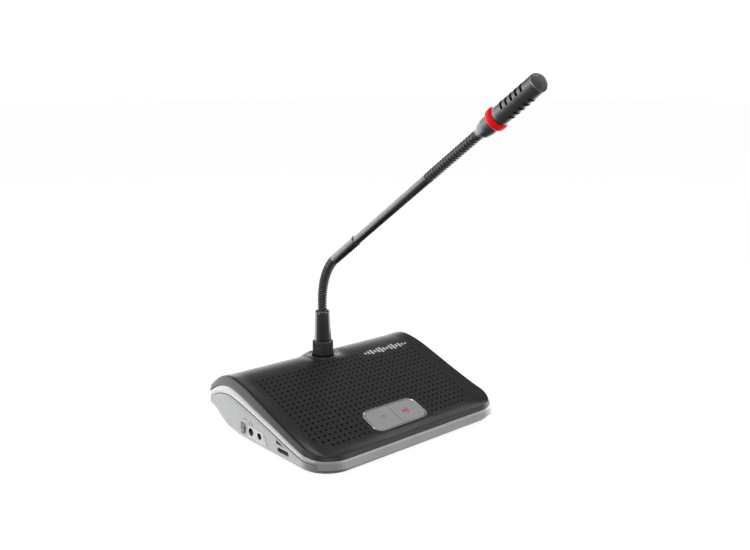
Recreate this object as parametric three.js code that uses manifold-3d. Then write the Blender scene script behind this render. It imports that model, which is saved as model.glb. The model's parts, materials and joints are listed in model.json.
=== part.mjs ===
// Gooseneck conference microphone: a wedge-shaped desk unit with a loudspeaker, two buttons and side
// ports, and a microphone on a two-section gooseneck that plugs into a socket at the rear.
// Millimetres. +Z is up and +Y points away from the speaker who sits at the unit.
import * as THREE from 'three';
import { mergeVertices } from 'three/addons/utils/BufferGeometryUtils.js';
import Module from 'manifold-3d';

const wasm = await Module();
wasm.setup();

// ---------------------------------------------------------------- driving dimensions
const GAP = 0.3;            // clearance between pieces that touch

// Desk unit. Y = 0 is the middle of the perforated panel and Z = 0 is the desk.
const HALF_WIDTH = 97.5;
const FRONT_Y = -63.5;
const REAR_Y = 91;
const FRONT_RADIUS = 26;
const REAR_RADIUS = 4;
const WALL = 2.4;
const FOOT_HEIGHT = 1.5;
const FOOT_RADIUS = 7;
const EDGE_DROP = 6;        // height of the rounded lower edge of the shell
const EDGE_INSET = 3;       // how far that edge pulls in
const RIM_WIDTH = 14;       // band at each side where the panel rises to the rim
const SLAB_ROWS = 24;
const CORNER_STEPS = 5;

// Side views, as [y, z]: each is one smooth line from front to rear.
const PANEL_LINE = [
  [-64, 16.6], [-57, 14.4], [-50, 13.4], [-43, 14.5], [-36, 17.2], [-20, 23.4], [0, 30.6], [20, 37.4],
  [36, 42.5], [44, 44.9], [52, 46.6], [60, 47], [68, 45.8], [76, 42.2], [84, 36.6], [92, 30],
];
const RIM_LINE = [
  [-64, 17], [-50, 17.5], [-36, 20.2], [-20, 25], [0, 31.6], [22, 38.9], [36, 43.6], [50, 47.2],
  [60, 48], [71, 45.2], [82, 38.3], [92, 30.2],
];
const COVER_LINE = [
  [-64, 11.8], [-50, 12.4], [-36, 14.8], [-20, 19.2], [0, 25], [14, 28.6], [28, 32.5], [42, 36.8],
  [53, 39.2], [63, 39.4], [73, 36.8], [82, 32.2], [92, 25.8],
];
const TRIM_LINE = [
  [-64, 7.6], [-50, 8.3], [-36, 10.4], [-20, 14], [0, 19.6], [22, 25.2], [37, 28.9], [54, 32.2],
  [64, 32.2], [74, 30], [83, 25.6], [92, 19.6],
];
const BASE_LINE = [
  [-64, 1.5], [-30, 1.5], [10, 1.5], [44, 1.5], [57, 4.3], [68, 8.9], [77, 14.6], [85, 17.8], [92, 18.4],
];

// Buttons, on the panel near its front edge.
const BUTTON_Y = -33.6;
const BUTTON_BLOCK = [54, 22.8];
const BUTTON_RADIUS = 6.4;
const BEZEL_WIDTH = 1.3;
const BUTTON_HEIGHT = 3.4;
const BUTTON_PROUD = 0.9;
const BUTTON_STEM = 2.6;
const BUTTON_BOARD_DEPTH = 8;
const SWITCH_SIZE = [6, 6, 2.2];

// Left side ports, as [y, z] on the wall.
const WHEEL_AT = [35.5, 10.8];
const WHEEL_RADIUS = 6.4;
const WHEEL_PROUD = 1.4;
const WHEEL_THICKNESS = 5.4;
const WHEEL_X = -HALF_WIDTH + WHEEL_RADIUS - WHEEL_PROUD;
const JACKS = [['headphone_jack', 27, 10.8, 3.2], ['line_jack', 15.2, 10.8, 2.7]];
const CARD_SLOT = [[-7.3, 15.6], [-7.3, 12.6], [-18.5, 12.2]];
const USB_AT = [-16, 8.4];
const USB_SIZE = [14.6, 3.6];

// Socket and plug of the gooseneck.
const SOCKET_Y = 59.8;
const BOSS_RADIUS = 15.2;
const BOSS_TOP = 46;
const RING_RADIUS = 13.6;
const COLLAR_RADIUS = 9;
const COLLAR_BORE = 6.7;
const COLLAR_BOTTOM = 46.6;
const COLLAR_TOP = 59.4;
const COLLAR_RIBS = 30;
const CONE_BASE_RADIUS = 7.7;
const CONE_TOP_RADIUS = 6.7;
const CONE_TOP = 86.6;

// Gooseneck: two flexible sections of short links that meet in ball-shaped ends.
const BALL_RADIUS = 5;
const LINK_RADIUS = 3.7;
const LOWER_FIRST = 6;      // from the start of a section to its first ball centre
const LOWER_PITCH = 9;
const LOWER_LENGTH = 54;
const LOWER_BENDS = [4, 7, 9.5, 11.5, 12, 11];   // degrees at each ball, at rest
const UPPER_FIRST = 4.9;
const UPPER_PITCH = 9.7;
const UPPER_LENGTH = 58.4;
const SLEEVE_RADIUS = 4.6;
const SLEEVE_LENGTH = 34.4;
const TUBE_RADIUS = 4;
const TUBE_BORE = 2.7;
const TUBE_LENGTH = 99.2;
const SPIGOT_LENGTH = 12;

// Microphone head.
const CUP_LENGTH = 15.6;
const LED_RADIUS = 8.65;
const LED_LENGTH = 4.8;
const BARREL_RADIUS = 7.2;
const BARREL_WALL = 1.2;
const BARREL_LENGTH = 38.4;
const SLOT_STARTS = [10.2, 15, 19.8, 24.6, 29.4];
const SLOT_HEIGHT = 1.9;
const SLOT_ARC = 69;
const SLOT_CENTRES = [30, 150, 270];
const CAP_HEIGHT = 4.8;
const SPIGOT_RADIUS = 4.7;

// The origin is on the desk, under the middle of the whole object.
const ORIGIN_Y = -39.6;

// ---------------------------------------------------------------- materials
const finish = (color, roughness, metalness = 0) =>
  new THREE.MeshStandardMaterial({ color, roughness, metalness });
const BLACK = finish(0x34363a, 0.55);
const SILVER = finish(0xcfd1d2, 0.35, 0.6);
const GREY = finish(0x9a9c9d, 0.45, 0.4);
const BUTTON_GREY = finish(0xa8aaab, 0.35, 0.4);
const RUBBER = finish(0x1d1d1f, 0.9);
const BOARD = finish(0x1f5a3a, 0.6);
const STEEL = finish(0xb4b6b8, 0.35, 1);
const DARK_METAL = finish(0x2c2e30, 0.4, 0.7);
const RED = finish(0xe81414, 0.3);
const BRASS = finish(0xc9a24a, 0.35, 1);
const PAPER = finish(0x26262a, 0.9);

// ---------------------------------------------------------------- solids
function toSolid(geometry) {
  const bare = geometry.clone();
  bare.deleteAttribute('normal');
  bare.deleteAttribute('uv');
  const merged = mergeVertices(bare, 1e-4);
  const vertProperties = new Float32Array(merged.attributes.position.array);
  const triVerts = new Uint32Array(merged.index.array);
  return new wasm.Manifold(new wasm.Mesh({ numProp: 3, vertProperties, triVerts }));
}

function toGeometry(solid) {
  const mesh = solid.getMesh();
  const geometry = new THREE.BufferGeometry();
  geometry.setAttribute('position', new THREE.BufferAttribute(mesh.vertProperties, 3));
  geometry.setIndex(new THREE.BufferAttribute(mesh.triVerts, 1));
  geometry.computeVertexNormals();
  return geometry;
}

const joined = (solids) => solids.reduce((sum, solid) => sum.add(solid));
const cutBy = (solid, tools) => tools.reduce((left, tool) => left.subtract(tool), solid);

function box(size, centre) {
  const geometry = new THREE.BoxGeometry(...size);
  geometry.translate(...centre);
  return toSolid(geometry);
}

// An upright cylinder between two heights.
function post(radius, x, y, low, high, sides = 24) {
  const geometry = new THREE.CylinderGeometry(radius, radius, high - low, sides);
  geometry.rotateX(Math.PI / 2);
  geometry.translate(x, y, (low + high) / 2);
  return toSolid(geometry);
}

// A cylinder along X, from the outside of the left wall inwards.
function bar(radius, startX, endX, y, z, sides = 20) {
  const geometry = new THREE.CylinderGeometry(radius, radius, endX - startX, sides);
  geometry.rotateZ(Math.PI / 2);
  geometry.translate((startX + endX) / 2, y, z);
  return toSolid(geometry);
}

// A lathe about +Z from [radius, z] pairs.
function turned(pairs, sides = 24) {
  const geometry = new THREE.LatheGeometry(pairs.map(([r, z]) => new THREE.Vector2(r, z)), sides);
  geometry.rotateX(Math.PI / 2);
  return toSolid(geometry);
}

// Points of an arc about [0, centre] on the lathe's profile, between two radii.
function ballArc(radius, centre, fromRadius, toRadius, steps = 3) {
  const fromAngle = Math.asin(fromRadius / radius);
  const toAngle = Math.asin(toRadius / radius);
  return Array.from({ length: steps + 1 }, (_, i) => {
    const angle = fromAngle + ((toAngle - fromAngle) * i) / steps;
    return [radius * Math.sin(angle), centre + radius * Math.cos(angle)];
  });
}

// A smooth function of y through [y, z] points.
function smoothLine(points) {
  const last = points.length - 1;
  const slopes = points.map((point, i) => {
    const before = points[Math.max(i - 1, 0)];
    const after = points[Math.min(i + 1, last)];
    return (after[1] - before[1]) / (after[0] - before[0]);
  });
  return (y) => {
    let i = 0;
    while (i < last - 1 && y > points[i + 1][0]) i += 1;
    const width = points[i + 1][0] - points[i][0];
    const t = (y - points[i][0]) / width;
    const start = points[i][1] * (1 + 2 * t) * (1 - t) ** 2 + slopes[i] * width * t * (1 - t) ** 2;
    const end = points[i + 1][1] * t * t * (3 - 2 * t) + slopes[i + 1] * width * t * t * (t - 1);
    return start + end;
  };
}

// A block over the whole plan whose underside and top follow two height functions. Its columns are
// closer together towards the sides, where the heights change most.
function slab(low, high, columns) {
  const depth = REAR_Y - FRONT_Y + 1;
  const geometry = new THREE.BoxGeometry(2, depth, 2, columns, SLAB_ROWS, 1);
  geometry.translate(0, (FRONT_Y + REAR_Y) / 2, 0);
  const place = geometry.attributes.position;
  for (let i = 0; i < place.count; i += 1) {
    const across = place.getX(i);
    place.setX(i, Math.sign(across) * (1 - (1 - Math.abs(across)) ** 2) * (HALF_WIDTH + 0.5));
    const height = place.getZ(i) > 0 ? high : low;
    place.setZ(i, height(place.getX(i), place.getY(i)));
  }
  return toSolid(geometry);
}

function roundedShape(left, right, front, rear, frontRadius, rearRadius) {
  const shape = new THREE.Shape();
  shape.moveTo(left + frontRadius, front);
  shape.lineTo(right - frontRadius, front);
  shape.absarc(right - frontRadius, front + frontRadius, frontRadius, -Math.PI / 2, 0);
  shape.lineTo(right, rear - rearRadius);
  shape.absarc(right - rearRadius, rear - rearRadius, rearRadius, 0, Math.PI / 2);
  shape.lineTo(left + rearRadius, rear);
  shape.absarc(left + rearRadius, rear - rearRadius, rearRadius, Math.PI / 2, Math.PI);
  shape.lineTo(left, front + frontRadius);
  shape.absarc(left + frontRadius, front + frontRadius, frontRadius, Math.PI, 1.5 * Math.PI);
  return shape;
}

// The unit's outline in plan, pulled in all round by an inset.
function planShape(inset) {
  const side = HALF_WIDTH - inset;
  const corner = Math.max(REAR_RADIUS - inset, 1);
  return roundedShape(-side, side, FRONT_Y + inset, REAR_Y - inset, FRONT_RADIUS - inset, corner);
}

function plan(inset, low = -5, high = 70) {
  const options = { depth: high - low, bevelEnabled: false, curveSegments: CORNER_STEPS };
  const geometry = new THREE.ExtrudeGeometry(planShape(inset), options);
  geometry.translate(0, 0, low);
  return toSolid(geometry);
}

// The same outline with the rounded lower edge of the shell.
function roundedPlan() {
  const geometry = new THREE.ExtrudeGeometry(planShape(0), {
    depth: 70, bevelThickness: EDGE_DROP, bevelSize: EDGE_INSET, bevelOffset: -EDGE_INSET,
    bevelSegments: 2, curveSegments: CORNER_STEPS,
  });
  geometry.translate(0, 0, FOOT_HEIGHT + EDGE_DROP);
  return toSolid(geometry);
}

// ---------------------------------------------------------------- the unit's surfaces
const panelHeight = smoothLine(PANEL_LINE);
const rimHeight = smoothLine(RIM_LINE);
const coverHeight = smoothLine(COVER_LINE);
const trimHeight = smoothLine(TRIM_LINE);
const baseHeight = smoothLine(BASE_LINE);

function topHeight(x, y) {
  const t = THREE.MathUtils.smoothstep(Math.abs(x), HALF_WIDTH - RIM_WIDTH, HALF_WIDTH);
  return THREE.MathUtils.lerp(panelHeight(y), rimHeight(y), t);
}

const SLOPE_STEP = 2;
const BUTTON_TILT = Math.atan2(
  panelHeight(BUTTON_Y + SLOPE_STEP) - panelHeight(BUTTON_Y - SLOPE_STEP), 2 * SLOPE_STEP);
const BUTTON_Z = panelHeight(BUTTON_Y);

// ---------------------------------------------------------------- scene graph
const object = new THREE.Group();
object.position.set(0, -ORIGIN_Y, 0);

function add(parent, name, solid, material) {
  const mesh = new THREE.Mesh(toGeometry(solid), material);
  mesh.name = name;
  parent.add(mesh);
  return mesh;
}

function frameAt(parent, position, tiltX = 0) {
  const group = new THREE.Group();
  group.position.set(...position);
  group.rotation.x = tiltX;
  parent.add(group);
  return group;
}

// ---------------------------------------------------------------- casing
const SCREWS = [
  ['front_left', -78, -40, 12.4], ['front_right', 78, -40, 12.4],
  ['rear_left', -78, 48, 22], ['rear_right', 78, 48, 22],
];
const TOWER_TOP = 9;
const SCREW_HEAD_TOP = 5.6;
const SCREW_HEAD_RADIUS = 2.9;
const SCREW_RADIUS = 1.4;
const LINK_SOCKETS = [['link_socket_in', -32], ['link_socket_out', 32]];
const LINK_SOCKET_Y = 69;
const LINK_SOCKET_RADIUS = 8;
const LINK_SOCKET_TILT = -0.52;

function buttonWindow() {
  const [width, depth] = BUTTON_BLOCK.map((side) => side / 2 + BEZEL_WIDTH + GAP);
  const corner = BUTTON_RADIUS + BEZEL_WIDTH + GAP;
  const shape = roundedShape(-width, width, -depth, depth, corner, corner);
  const geometry = new THREE.ExtrudeGeometry(shape, { depth: 16, bevelEnabled: false, curveSegments: 5 });
  geometry.translate(0, 0, -8);
  geometry.rotateX(BUTTON_TILT);
  geometry.translate(0, BUTTON_Y, BUTTON_Z);
  return toSolid(geometry);
}

function topCover() {
  const seam = slab(() => -5, (x, y) => coverHeight(y) + GAP / 2, 2).subtract(plan(WALL + 1));
  const plate = slab((x, y) => topHeight(x, y) - WALL, topHeight, 10).intersect(plan(0)).subtract(seam);
  const skirtLow = (x, y) => coverHeight(y) + GAP / 2;
  const skirtHigh = (x, y) => topHeight(x, y) - WALL / 2;
  const skirt = slab(skirtLow, skirtHigh, 2).intersect(plan(0).subtract(plan(WALL)));
  const boss = post(BOSS_RADIUS, 0, SOCKET_Y, BOSS_TOP - 6, BOSS_TOP, 36);
  const posts = SCREWS.map(([, x, y]) => post(3.4, x, y, TOWER_TOP + GAP, topHeight(x, y) - WALL / 2, 16));
  const bores = SCREWS.map(([, x, y, tip]) => post(SCREW_RADIUS + GAP, x, y, 0, tip + GAP, 12));
  const socket = post(RING_RADIUS + GAP, 0, SOCKET_Y, 30, 60, 36);
  return cutBy(joined([plate, skirt, boss, ...posts]), [...bores, socket, buttonWindow()]);
}

function sideTrim() {
  const low = (x, y) => trimHeight(y) + GAP / 2;
  const high = (x, y) => coverHeight(y) - GAP / 2;
  return slab(low, high, 2).intersect(plan(0).subtract(plan(WALL + 0.6)));
}

// A prism through the left wall from an outline of [y, z] points.
function wallCut(shape) {
  const geometry = new THREE.ExtrudeGeometry(shape, { depth: 8, bevelEnabled: false, curveSegments: 4 });
  geometry.rotateX(Math.PI / 2);
  geometry.rotateZ(Math.PI / 2);
  geometry.translate(-HALF_WIDTH - 4, 0, 0);
  return toSolid(geometry);
}

function portCuts() {
  const [wheelY, wheelZ] = WHEEL_AT;
  const roomRadius = WHEEL_RADIUS + 0.6;
  const wheelRoom = new THREE.CylinderGeometry(roomRadius, roomRadius, WHEEL_THICKNESS + 1.4, 28);
  wheelRoom.translate(WHEEL_X, wheelY, wheelZ);
  const jacks = JACKS.map(([, y, z, radius]) => bar(radius + GAP, -HALF_WIDTH - 4, -HALF_WIDTH + 4, y, z));
  const card = wallCut(new THREE.Shape(CARD_SLOT.map(([y, z]) => new THREE.Vector2(y, z))));
  const [usbY, usbZ] = USB_AT;
  const [usbWide, usbTall] = USB_SIZE.map((side) => side / 2);
  const round = usbTall - 0.1;
  const usb = wallCut(roundedShape(
    usbY - usbWide, usbY + usbWide, usbZ - usbTall, usbZ + usbTall, round, round));
  return [toSolid(wheelRoom), ...jacks, card, usb];
}

function linkSocketTool(x, radius, low, high) {
  const geometry = new THREE.CylinderGeometry(radius, radius, high - low, 24);
  geometry.rotateX(Math.PI / 2);
  geometry.translate(0, 0, (low + high) / 2);
  geometry.rotateX(-LINK_SOCKET_TILT);
  geometry.translate(x, LINK_SOCKET_Y, baseHeight(LINK_SOCKET_Y));
  return toSolid(geometry);
}

function lowerShell() {
  const outer = slab((x, y) => baseHeight(y), (x, y) => trimHeight(y) - GAP / 2, 2);
  const cavity = slab((x, y) => baseHeight(y) + WALL - 0.2, () => 70, 2);
  const tub = outer.intersect(roundedPlan()).subtract(cavity.intersect(plan(WALL + 0.2)));
  const towers = SCREWS.map(([, x, y]) => post(4.4, x, y, FOOT_HEIGHT + 1, TOWER_TOP, 16));
  const bores = SCREWS.map(([, x, y]) => post(SCREW_RADIUS + GAP, x, y, 0, TOWER_TOP + 1, 12));
  const heads = SCREWS.map(([, x, y]) => post(SCREW_HEAD_RADIUS + GAP, x, y, 0, SCREW_HEAD_TOP + GAP, 16));
  const sockets = LINK_SOCKETS.map(([, x]) => linkSocketTool(x, LINK_SOCKET_RADIUS + GAP, -8, 8));
  return cutBy(joined([tub, ...towers]), [...bores, ...heads, ...sockets, ...portCuts()]);
}

const casing = frameAt(object, [0, 0, 0]);
add(casing, 'lower_shell', lowerShell(), GREY);
add(casing, 'side_trim', sideTrim(), SILVER);
add(casing, 'top_cover', topCover(), BLACK);

for (const [place, x, y, tip] of SCREWS) {
  const head = post(SCREW_HEAD_RADIUS, x, y, SCREW_HEAD_TOP - 2, SCREW_HEAD_TOP, 16);
  const shaft = post(SCREW_RADIUS, x, y, SCREW_HEAD_TOP - 0.5, tip, 12);
  add(casing, `case_screw_${place}`, head.add(shaft), STEEL);
}

const FEET = [
  ['front_left', -66, -44], ['front_right', 66, -44],
  ['rear_left', -66, 36], ['rear_right', 66, 36],
];
for (const [place, x, y] of FEET) {
  add(casing, `foot_${place}`, post(FOOT_RADIUS, x, y, 0, FOOT_HEIGHT - GAP), RUBBER);
}

// ---------------------------------------------------------------- inside the casing
const FLOOR = FOOT_HEIGHT + WALL - 0.2 + GAP;
add(casing, 'ballast_plate', box([124, 30, 1.9], [0, -38, FLOOR + 0.95]), STEEL);
add(casing, 'main_board', box([120, 52, 1.6], [4, 14, FLOOR + 3]), BOARD);
const POSTS_UNDER_BOARD = [[-50, -8], [58, -8], [-50, 36], [58, 36]];
POSTS_UNDER_BOARD.forEach(([x, y], i) => {
  const spacer = post(3, x, y, FLOOR, FLOOR + 2.2 - GAP, 16);
  add(casing, `board_spacer_${i + 1}`, spacer, BRASS);
});

const SPEAKER_Y = 12;
const SPEAKER_RADIUS = 25;
const speakerTilt = Math.atan2(panelHeight(SPEAKER_Y + 10) - panelHeight(SPEAKER_Y - 10), 20);
const speaker = frameAt(casing, [0, SPEAKER_Y, panelHeight(SPEAKER_Y) - WALL - 0.8], speakerTilt);
const BASKET = [
  [13, -10], [SPEAKER_RADIUS, -3], [SPEAKER_RADIUS, 0], [SPEAKER_RADIUS - 2.4, 0],
  [SPEAKER_RADIUS - 2.4, -2], [12, -8.4], [6, -8.4], [6, -10], [13, -10],
];
const CONE = [
  [0, -4.6], [4.4, -5.4], [8, -6.2], [SPEAKER_RADIUS - 3.4, -1.5], [SPEAKER_RADIUS - 3.4, -0.7],
  [8, -5.4], [4.4, -4.4], [0, -3.6],
];
const MAGNET = [[0, -18], [14, -18], [14, -10.4], [0, -10.4]];
add(speaker, 'speaker_basket', turned(BASKET, 24), STEEL);
add(speaker, 'speaker_cone', turned(CONE, 24), PAPER);
add(speaker, 'speaker_magnet', turned(MAGNET, 24), DARK_METAL);

// ---------------------------------------------------------------- buttons
const buttons = frameAt(casing, [0, BUTTON_Y, BUTTON_Z], BUTTON_TILT);
const [BLOCK_WIDTH, BLOCK_DEPTH] = BUTTON_BLOCK;
const BEZEL_PROUD = 0.5;
const BEZEL_HEIGHT = 4;
const STEM_BOTTOM = -BUTTON_BOARD_DEPTH + SWITCH_SIZE[2] + 0.2;

function buttonOutline(left, right, leftRadius, rightRadius, low, high, spare = 0) {
  const half = BLOCK_DEPTH / 2 + spare;
  const shape = new THREE.Shape();
  shape.moveTo(left + leftRadius, -half);
  shape.lineTo(right - rightRadius, -half);
  shape.absarc(right - rightRadius, -half + rightRadius, rightRadius, -Math.PI / 2, 0);
  shape.absarc(right - rightRadius, half - rightRadius, rightRadius, 0, Math.PI / 2);
  shape.absarc(left + leftRadius, half - leftRadius, leftRadius, Math.PI / 2, Math.PI);
  shape.absarc(left + leftRadius, -half + leftRadius, leftRadius, Math.PI, 1.5 * Math.PI);
  const geometry = new THREE.ExtrudeGeometry(shape, {
    depth: high - low, bevelEnabled: false, curveSegments: 5,
  });
  geometry.translate(0, 0, low);
  return toSolid(geometry);
}

function bezel() {
  const half = BLOCK_WIDTH / 2;
  const outside = half + BEZEL_WIDTH;
  const radius = BUTTON_RADIUS + BEZEL_WIDTH;
  const low = BEZEL_PROUD - BEZEL_HEIGHT;
  const outer = buttonOutline(-outside, outside, radius, radius, low, BEZEL_PROUD, BEZEL_WIDTH);
  const inner = buttonOutline(-half, half, BUTTON_RADIUS, BUTTON_RADIUS, low - 1, BEZEL_PROUD + 1);
  return outer.subtract(inner);
}

function buttonCap(side) {
  const near = 0.3;
  const far = BLOCK_WIDTH / 2 - 0.35;
  const low = BUTTON_PROUD - BUTTON_HEIGHT;
  const ends = side < 0 ? [-far, -near, BUTTON_RADIUS, 0.6] : [near, far, 0.6, BUTTON_RADIUS];
  const cap = buttonOutline(...ends, low, BUTTON_PROUD, -0.35);
  const stem = post(BUTTON_STEM, (side * BLOCK_WIDTH) / 4, 0, STEM_BOTTOM + 1.3, low + 0.5, 16);
  return cap.add(stem);
}

add(buttons, 'button_bezel', bezel(), SILVER);
add(buttons, 'priority_button', buttonCap(-1), BUTTON_GREY);
add(buttons, 'speak_button', buttonCap(1), BUTTON_GREY);
add(buttons, 'button_board', box([48, 16, 1.4], [0, 0, -BUTTON_BOARD_DEPTH - 0.7 - GAP]), BOARD);
for (const [name, side] of [['priority_switch', -1], ['speak_switch', 1]]) {
  const low = -BUTTON_BOARD_DEPTH;
  const centre = [(side * BLOCK_WIDTH) / 4, 0, low + SWITCH_SIZE[2] / 2];
  add(buttons, name, box(SWITCH_SIZE, centre), DARK_METAL);
}

// ---------------------------------------------------------------- side ports
function toothedDisc(radius, depth, teeth, height) {
  const shape = new THREE.Shape();
  for (let i = 0; i < 2 * teeth; i += 1) {
    const angle = (i * Math.PI) / teeth;
    const reach = i % 2 ? radius - depth : radius;
    const point = [reach * Math.cos(angle), reach * Math.sin(angle)];
    if (i === 0) shape.moveTo(...point);
    else shape.lineTo(...point);
  }
  shape.closePath();
  return new THREE.ExtrudeGeometry(shape, { depth: height, bevelEnabled: false });
}

function volumeWheel() {
  const disc = toothedDisc(WHEEL_RADIUS, 0.5, 24, WHEEL_THICKNESS);
  disc.translate(0, 0, -WHEEL_THICKNESS / 2);
  disc.rotateX(-Math.PI / 2);
  const axle = new THREE.CylinderGeometry(1.5, 1.5, 7, 16);
  axle.translate(0, 4.5, 0);
  return toSolid(disc).add(toSolid(axle));
}

const wheelFrame = frameAt(casing, [WHEEL_X, ...WHEEL_AT]);
add(wheelFrame, 'volume_wheel', volumeWheel(), RUBBER);
const potBore = new THREE.CylinderGeometry(1.8, 1.8, 12, 16);
potBore.translate(0, 4.5, 0);
const potCase = box([8, 7, 10], [2, 7.2, -0.9]);
add(wheelFrame, 'volume_pot', potCase.subtract(toSolid(potBore)), DARK_METAL);

const WALL_INSIDE = -HALF_WIDTH + WALL + 0.2 + GAP;
for (const [name, y, z, radius] of JACKS) {
  const body = box([12, 8, 9], [WALL_INSIDE + 6, y, z - 0.8]);
  const barrel = bar(radius, -HALF_WIDTH, WALL_INSIDE + 2, y, z);
  const hole = bar(1.8, -HALF_WIDTH - 1, WALL_INSIDE + 10, y, z, 16);
  add(casing, name, body.add(barrel).subtract(hole), DARK_METAL);
}

const [usbY, usbZ] = USB_AT;
const usbCase = box([12, 13, 4.2], [WALL_INSIDE + 6, usbY, usbZ - 0.3]);
const usbMouth = box([10, 11.6, 2.4], [WALL_INSIDE + 3, usbY, usbZ]);
add(casing, 'usb_socket', usbCase.subtract(usbMouth), STEEL);
const cardCase = box([14, 13, 2.6], [WALL_INSIDE + 7, -13, 12.9]);
const cardMouth = box([14, 11.2, 1.1], [WALL_INSIDE + 5, -13, 12.9]);
add(casing, 'card_reader', cardCase.subtract(cardMouth), STEEL);

// Round multi-pin sockets for the cable chain, on the sloping underside at the rear.
for (const [name, x] of LINK_SOCKETS) {
  const frame = frameAt(casing, [x, LINK_SOCKET_Y, baseHeight(LINK_SOCKET_Y)], -LINK_SOCKET_TILT);
  const ring = [[0, 11], [6.4, 11], [6.4, 5], [LINK_SOCKET_RADIUS, 5], [LINK_SOCKET_RADIUS, -0.8],
    [6.2, -0.8], [6.2, 0.9], [0, 0.9]].reverse();
  add(frame, name, turned(ring, 20), DARK_METAL);
}

// ---------------------------------------------------------------- gooseneck socket
const socket = frameAt(object, [0, SOCKET_Y, 0]);
const SEAT = [
  [COLLAR_RADIUS + 0.8, BOSS_TOP - 2.2], [RING_RADIUS, BOSS_TOP - 2.2], [RING_RADIUS, BOSS_TOP + 0.3],
  [RING_RADIUS - 1.2, BOSS_TOP + 0.5], [COLLAR_RADIUS + 0.8, BOSS_TOP - 0.6],
  [COLLAR_RADIUS + 0.8, BOSS_TOP - 2.2],
];
add(socket, 'socket_ring', turned(SEAT, 28), BLACK);
const RECEPTACLE = [
  [0, 27], [11, 27], [11, BOSS_TOP - 2.5], [6.9, BOSS_TOP - 2.5],
  [6.9, 38], [4.6, 38], [4.6, 29.5], [0, 29.5],
];
add(socket, 'socket_body', turned(RECEPTACLE, 20), DARK_METAL);
const INSERT = [[0, 30], [4.2, 30], [4.2, 38.6], [5.6, 38.6], [5.6, 44.4], [0, 44.4]];
add(socket, 'plug_insert', turned(INSERT, 16), BRASS);

const knurl = toothedDisc(COLLAR_RADIUS, 0.55, COLLAR_RIBS, COLLAR_TOP - COLLAR_BOTTOM);
knurl.translate(0, 0, COLLAR_BOTTOM);
const collarBore = post(COLLAR_BORE, 0, 0, COLLAR_BOTTOM - 1, COLLAR_TOP + 1, 28);
add(socket, 'lock_collar', toSolid(knurl).subtract(collarBore), DARK_METAL);

// The plug body ends in a short neck whose ball carries the first link.
const lowerBall = CONE_TOP + LOWER_FIRST;
const PLUG = [
  [0, 44.7], [6.3, 44.7], [6.3, COLLAR_TOP + GAP], [CONE_BASE_RADIUS, COLLAR_TOP + GAP],
  [CONE_TOP_RADIUS, CONE_TOP - 2.6], [CONE_TOP_RADIUS - 0.8, CONE_TOP - 0.8], [4.6, CONE_TOP],
  ...ballArc(BALL_RADIUS, lowerBall, LINK_RADIUS, 0),
];
add(socket, 'plug_body', turned(PLUG, 22), DARK_METAL);

// ---------------------------------------------------------------- gooseneck
// Each frame sits on a ball centre with its +Z along the neck. A link has a hollow end round the ball
// below it and a ball end round the next centre.
const CUP_RADIUS = BALL_RADIUS + GAP;

function neckLink(pitch) {
  const hollow = ballArc(CUP_RADIUS, 0, 0, LINK_RADIUS);
  const ball = ballArc(BALL_RADIUS, pitch, LINK_RADIUS, 0);
  return turned([...hollow, ...ball], 14);
}

function addSection(start, name, bends, pitch) {
  let frame = start;
  bends.forEach((bend, i) => {
    frame = frameAt(frame, [0, 0, i ? pitch : 0], THREE.MathUtils.degToRad(bend));
    if (i < bends.length - 1) add(frame, `${name}_link_${i + 1}`, neckLink(pitch), DARK_METAL);
  });
  return frame;
}

const lowerStart = frameAt(socket, [0, 0, lowerBall]);
const sleeveFrame = addSection(lowerStart, 'lower', LOWER_BENDS, LOWER_PITCH);
const lastLower = LOWER_FIRST + LOWER_PITCH * (LOWER_BENDS.length - 1);
const sleeveStart = LOWER_LENGTH - lastLower;
const sleeveEnd = sleeveStart + SLEEVE_LENGTH;
const SLEEVE = [
  ...ballArc(CUP_RADIUS, 0, 0, SLEEVE_RADIUS - 0.4),
  [SLEEVE_RADIUS, 4.2], [SLEEVE_RADIUS, sleeveEnd - 1.2], [SLEEVE_RADIUS - 0.5, sleeveEnd],
  [TUBE_BORE + 0.9, sleeveEnd], [TUBE_BORE + 0.9, sleeveEnd - SPIGOT_LENGTH], [0, sleeveEnd - SPIGOT_LENGTH],
];
add(sleeveFrame, 'neck_sleeve', turned(SLEEVE, 18), DARK_METAL);

const tubeStart = sleeveEnd + GAP;
const tubeEnd = sleeveEnd + TUBE_LENGTH;
const upperBall = tubeEnd + UPPER_FIRST;
const spigotEnd = sleeveEnd - SPIGOT_LENGTH + GAP;
const spigotRadius = TUBE_BORE + 0.6;
const boreRadius = 1.8;
const TUBE = [
  [boreRadius, spigotEnd], [spigotRadius, spigotEnd], [spigotRadius, tubeStart], [TUBE_RADIUS, tubeStart],
  [TUBE_RADIUS, tubeEnd], ...ballArc(BALL_RADIUS, upperBall, LINK_RADIUS, boreRadius),
  [boreRadius, spigotEnd],
];
add(sleeveFrame, 'neck_tube', turned(TUBE, 18), DARK_METAL);

const upperStart = frameAt(sleeveFrame, [0, 0, upperBall]);
const upperBends = LOWER_BENDS.map(() => 0);
const lastUpperFrame = addSection(upperStart, 'upper', upperBends, UPPER_PITCH);

// ---------------------------------------------------------------- microphone head
// Heights are from the end of the upper flexible section.
const headOffset = UPPER_LENGTH - UPPER_FIRST - UPPER_PITCH * (upperBends.length - 1);
const head = frameAt(lastUpperFrame, [0, 0, headOffset]);
const ledStart = CUP_LENGTH;
const barrelStart = ledStart + LED_LENGTH;
const capStart = barrelStart + BARREL_LENGTH;
const barrelBore = BARREL_RADIUS - BARREL_WALL;

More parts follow.
